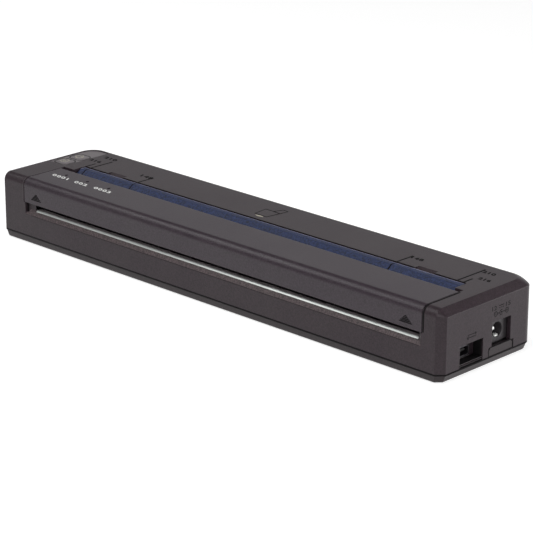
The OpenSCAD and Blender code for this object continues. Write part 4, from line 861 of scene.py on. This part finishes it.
# power inlet: painted shadow as a dark plate in the gap behind the tab, and the nose of the contact
# spring
inletGapShadow = {
    "level": 125.34, "height": 0.06, "finish": "ink_and_shadow_black",
    "plates": [[[(2.4, 6.2), (13.9, 6.2), (13.9, 8.2), (2.4, 8.2)]]],
}
cutPlate("inletGapShadow", inletGapShadow, onEnd, "housing")
inletSpring = {
    "level": 7.9, "width": 0.3, "height": 2.0, "finish": "contact_bright",
    "paths": [[(119.0, 10.5), (122.6, 10.5), (124.0, 11.0), (124.8, 10.8), (125.1, 10.2)]],
}
drawStrokes("inletSpring", inletSpring, onSide, "housing")

# inside: contacts on the data socket's tongue, chip legs, small board parts
tongueContacts = {
    "level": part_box("usb_tongue")[1][2] / mm + 0.02, "width": 0.32, "height": 0.08,
    "finish": "contact_gold",
    "paths": [[(117.0, v), (122.1, v)] for v in (-11.25, -10.45, -9.65, -8.85, -8.05)],
}
drawStrokes("tongueContacts", tongueContacts, onTop, "housing")
chipLegs = {
    "level": 6.06, "finish": "screw_steel",
    "chips": (-51.8, 16.2, 30.2, 81.568),       # left edge of each chip
    "chipLength": 9.0,
    "rows": ((-14.1, -90), (-6.3, 90)),         # y of a row of legs, and the way it points
    "legs": 12, "fromEnds": 0.7,
    "reach": 0.9, "rise": 0.35, "width": 0.3, "height": 0.1,
}
smallParts = {
    "level": 6.2, "finish": "capacitor_tan",
    "rows": (-4.4, -16.6), "from": -48.0, "to": 46.0, "pitch": 3.7,
    "length": 1.6, "width": 0.8, "height": 0.5, "seed": 5.0,
}


def makeChipLegs():
    points, turns = [], []
    step = (chipLegs["chipLength"] - 2 * chipLegs["fromEnds"]) / (chipLegs["legs"] - 1)
    for x in chipLegs["chips"]:
        for y, turn in chipLegs["rows"]:
            for i in range(chipLegs["legs"]):
                points.append(((x + chipLegs["fromEnds"] + i * step) * mm, y * mm, 0))
                turns.append(math.radians(turn))
    mesh = bpy.data.meshes.new("chipLegs")
    mesh.from_pydata(points, [], [])
    mesh.attributes.new("turn", "FLOAT", "POINT").data.foreach_set("value", turns)
    values = {label: chipLegs[label.lower()] * mm for label in ("Reach", "Rise", "Width", "Height")}
    values["Finish"] = finish[chipLegs["finish"]]
    grow("chipLegs", mesh, legTree, values, onTop(chipLegs["level"]), "housing")


def makeSmallParts():
    count = int((smallParts["to"] - smallParts["from"]) / smallParts["pitch"])
    mesh = bpy.data.meshes.new("smallParts")
    mesh.from_pydata([((smallParts["from"] + i * smallParts["pitch"]) * mm, y * mm, 0)
                      for y in smallParts["rows"] for i in range(count)], [], [])
    values = {label: smallParts[label.lower()] * mm for label in ("Length", "Width", "Height")}
    values.update({"Seed": smallParts["seed"], "Finish": finish[smallParts["finish"]]})
    grow("smallParts", mesh, scatterTree, values, onTop(smallParts["level"]), "housing")


makeChipLegs()
makeSmallParts()

# exit slot: a steel strip bent over the front edge of the ledge, a pale plate behind it that is painted
# light in the cover's shade, a dark line along the lower edge of the ramp and a dark plate at the back
# of the slit at the slot's left end, both painted shade
tearBlade = {
    "level": 5.35, "width": 0.3, "height": 219.7, "finish": "blade_steel",
    "paths": [[(-25.6, 16.36), (-25.95, 16.34), (-26.18, 16.2), (-26.48, 15.76)]],
}
blade = drawStrokes("tearBlade", tearBlade, onEnd, "housing")
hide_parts("tear_bar")
# pale plate: painted light where the cover shades the ledge
slotLedgePaintedLight = {
    "level": 16.3, "height": 0.15, "finish": "ledge_painted_light",
    "plates": [[[(-104.6, -25.85), (115.1, -25.85), (115.1, -23.3), (-104.6, -23.3)]]],
}
cutPlate("slotLedgePaintedLight", slotLedgePaintedLight, onTop, "housing")
# painted shade: a dark line along the ramp's lower edge
rampEdgeShade = {
    "level": -27.5, "width": 0.22, "height": 0.04, "finish": "ink_and_shadow_soft",
    "paths": [[(-107.0, 13.75), (116.5, 13.75)]],
}
drawStrokes("rampEdgeShade", rampEdgeShade, onSide, "housing")
# painted shade: a black plate at the back of the slit
slitBackShade = {
    "level": -26.28, "height": 0.1, "finish": "ink_and_shadow_black",
    "plates": [[[(-110.75, 14.85), (-109.35, 14.85), (-109.35, 19.25), (-110.75, 19.25)]]],
}
cutPlate("slitBackShade", slitBackShade, onSide, "housing")

# print head: the heater line in its glaze; battery: the joints of its cells under the wrap
heaterLine = {
    "level": 16.4, "width": 0.5, "height": 0.06, "finish": "heater_brown",
    "paths": [[(-101.0, -15.998), (110.6, -15.998)]],
}
drawStrokes("heaterLine", heaterLine, onTop, "print_head")
cellJoints = {
    "width": 0.12, "height": 1.1, "finish": "wrap_dark",
    "places": (-29.2, 37.1, -93.5, 101.3),
    "paths": [roundedPath(5.9, 25.1, 5.8, 24.4, 3.0)],
}
for number, x in enumerate(cellJoints["places"]):
    drawStrokes("cellJoint" + str(number + 1), {**cellJoints, "level": x}, onEnd, "housing")
print("small pieces made")


# the studio: a white floor that keeps a soft shadow, a pale low backdrop and four lamps
studio = {
    "floorHalf": 4.0,           # metres from its middle to its edges
    "floorRough": 0.9,
    "floorTone": 0.5,           # share of the floor's white that the light makes
    "floorGlow": 0.78,          # the rest, for the camera and for reflections
    "darkFrom": 0.16,           # metres from the middle towards the camera where the table ends
    "darkTo": 0.26,
    "darkShare": 0.2,           # what reflections see beyond it
    "roomFrom": -0.4,           # the same end for the room's own light, as a share of a ray's length
    "roomTo": 0.0,
    "backdropTop": 0.335,       # sine of the height where the backdrop ends
    "backdropFade": 0.34,
    "backdrop": 0.84,
    "backdropLeft": 0.85,       # share of its light at the left and right edge of the picture
    "backdropRight": 1.2,
    "backdropEdge": 0.12,       # how far aside a ray goes at those edges
    "ceiling": 0.08,
    "lamps": {
        # name: middle, size, watts
        "softBox": ((0.1, -0.45, 0.8), (0.8, 0.6), 5.0),
        "edgeStrip": ((-0.72, -0.5, 0.8), (0.2, 0.9), 3.4),
        "rightPanel": ((0.9, 0.75, 0.25), (0.5, 0.5), 6.0),
        "frontFill": ((0.85, -0.75, 0.45), (0.6, 0.6), 3.8),
    },
    "levelLamps": ("softBox", "edgeStrip"),
    "lampsAim": (0, 0, 0.015),  # where the others point
}
white = (1.0, 1.0, 1.0, 1.0)


def softRamp(tree, value, low, high, first, last):
    return rampOf(tree, value, low, high, first, last, "SMOOTHSTEP")


def shareAlong(tree, vector, direction):
    # how far a point or a ray goes in a level direction
    along = addNode(tree, "ShaderNodeVectorMath", operation="DOT_PRODUCT")
    along.inputs[1].default_value = direction
    join(tree, vector, along.inputs[0])
    return along.outputs["Value"]


def makeFloor():
    mesh = bpy.data.meshes.new("floor")
    far = studio["floorHalf"]
    corners = [(-far, -far, 0), (far, -far, 0), (far, far, 0), (-far, far, 0)]
    mesh.from_pydata(corners, [], [(0, 1, 2, 3)])
    floor = addObject("floor", mesh)
    made, tree, shader = startMaterial("floorWhite")
    shader.inputs["Base Color"].default_value = (studio["floorTone"],) * 3 + (1.0,)
    shader.inputs["Roughness"].default_value = studio["floorRough"]
    shader.inputs["Specular IOR Level"].default_value = 0.0
    rays = addNode(tree, "ShaderNodeLightPath")
    place = addNode(tree, "ShaderNodeTexCoord")
    ahead = shareAlong(tree, place.outputs["Object"], towardsCamera)
    near = softRamp(tree, ahead, studio["darkFrom"], studio["darkTo"], 1.0, studio["darkShare"])
    seen = addNode(tree, "ShaderNodeMath", operation="MAXIMUM")
    join(tree, rays.outputs["Is Camera Ray"], seen.inputs[0])
    join(tree, times(tree, rays.outputs["Is Glossy Ray"], near), seen.inputs[1])
    clear = addNode(tree, "ShaderNodeMath", operation="MAXIMUM")
    join(tree, seen.outputs[0], clear.inputs[0])
    join(tree, rays.outputs["Is Transmission Ray"], clear.inputs[1])
    join(tree, times(tree, clear.outputs[0], studio["floorGlow"]), shader.inputs["Emission Strength"])
    shader.inputs["Emission Color"].default_value = white
    mesh.materials.append(made)


def makeRoom():
    world = bpy.data.worlds.new("room")
    bpy.context.scene.world = world
    world.use_nodes = True
    tree = world.node_tree
    back = tree.nodes["Background"]
    rays = addNode(tree, "ShaderNodeLightPath")
    ray = addNode(tree, "ShaderNodeTexCoord").outputs["Generated"]
    split = addNode(tree, "ShaderNodeSeparateXYZ")
    join(tree, ray, split.inputs[0])
    low = studio["backdropTop"] - studio["backdropFade"] / 2
    high = studio["backdropTop"] + studio["backdropFade"] / 2
    height = softRamp(tree, split.outputs["Z"], low, high, studio["backdrop"], studio["ceiling"])
    lean = softRamp(tree, shareAlong(tree, ray, acrossPicture), -studio["backdropEdge"],
                    studio["backdropEdge"], studio["backdropLeft"], studio["backdropRight"])
    ahead = softRamp(tree, shareAlong(tree, ray, towardsCamera), studio["roomFrom"], studio["roomTo"],
                     1.0, studio["darkShare"])
    strength = addNode(tree, "ShaderNodeMix", data_type="FLOAT")
    join(tree, times(tree, times(tree, height, lean), ahead), strength.inputs["A"])
    strength.inputs["B"].default_value = 1.0
    join(tree, rays.outputs["Is Camera Ray"], strength.inputs["Factor"])
    join(tree, strength.outputs["Result"], back.inputs["Strength"])
    back.inputs["Color"].default_value = white


def makeLamps():
    for name, (place, size, watts) in studio["lamps"].items():
        data = bpy.data.lights.new(name, "AREA")
        data.shape = "RECTANGLE"
        data.size, data.size_y = size
        data.energy = watts
        lamp = addObject(name, data)
        lamp.location = place
        if name not in studio["levelLamps"]:
            aim = Vector(studio["lampsAim"]) - Vector(place)
            lamp.rotation_mode = "QUATERNION"
            lamp.rotation_quaternion = aim.to_track_quat("-Z", "Y")


makeFloor()
makeRoom()
makeLamps()
bpy.context.scene.view_settings.view_transform = "Standard"
print("studio lit")
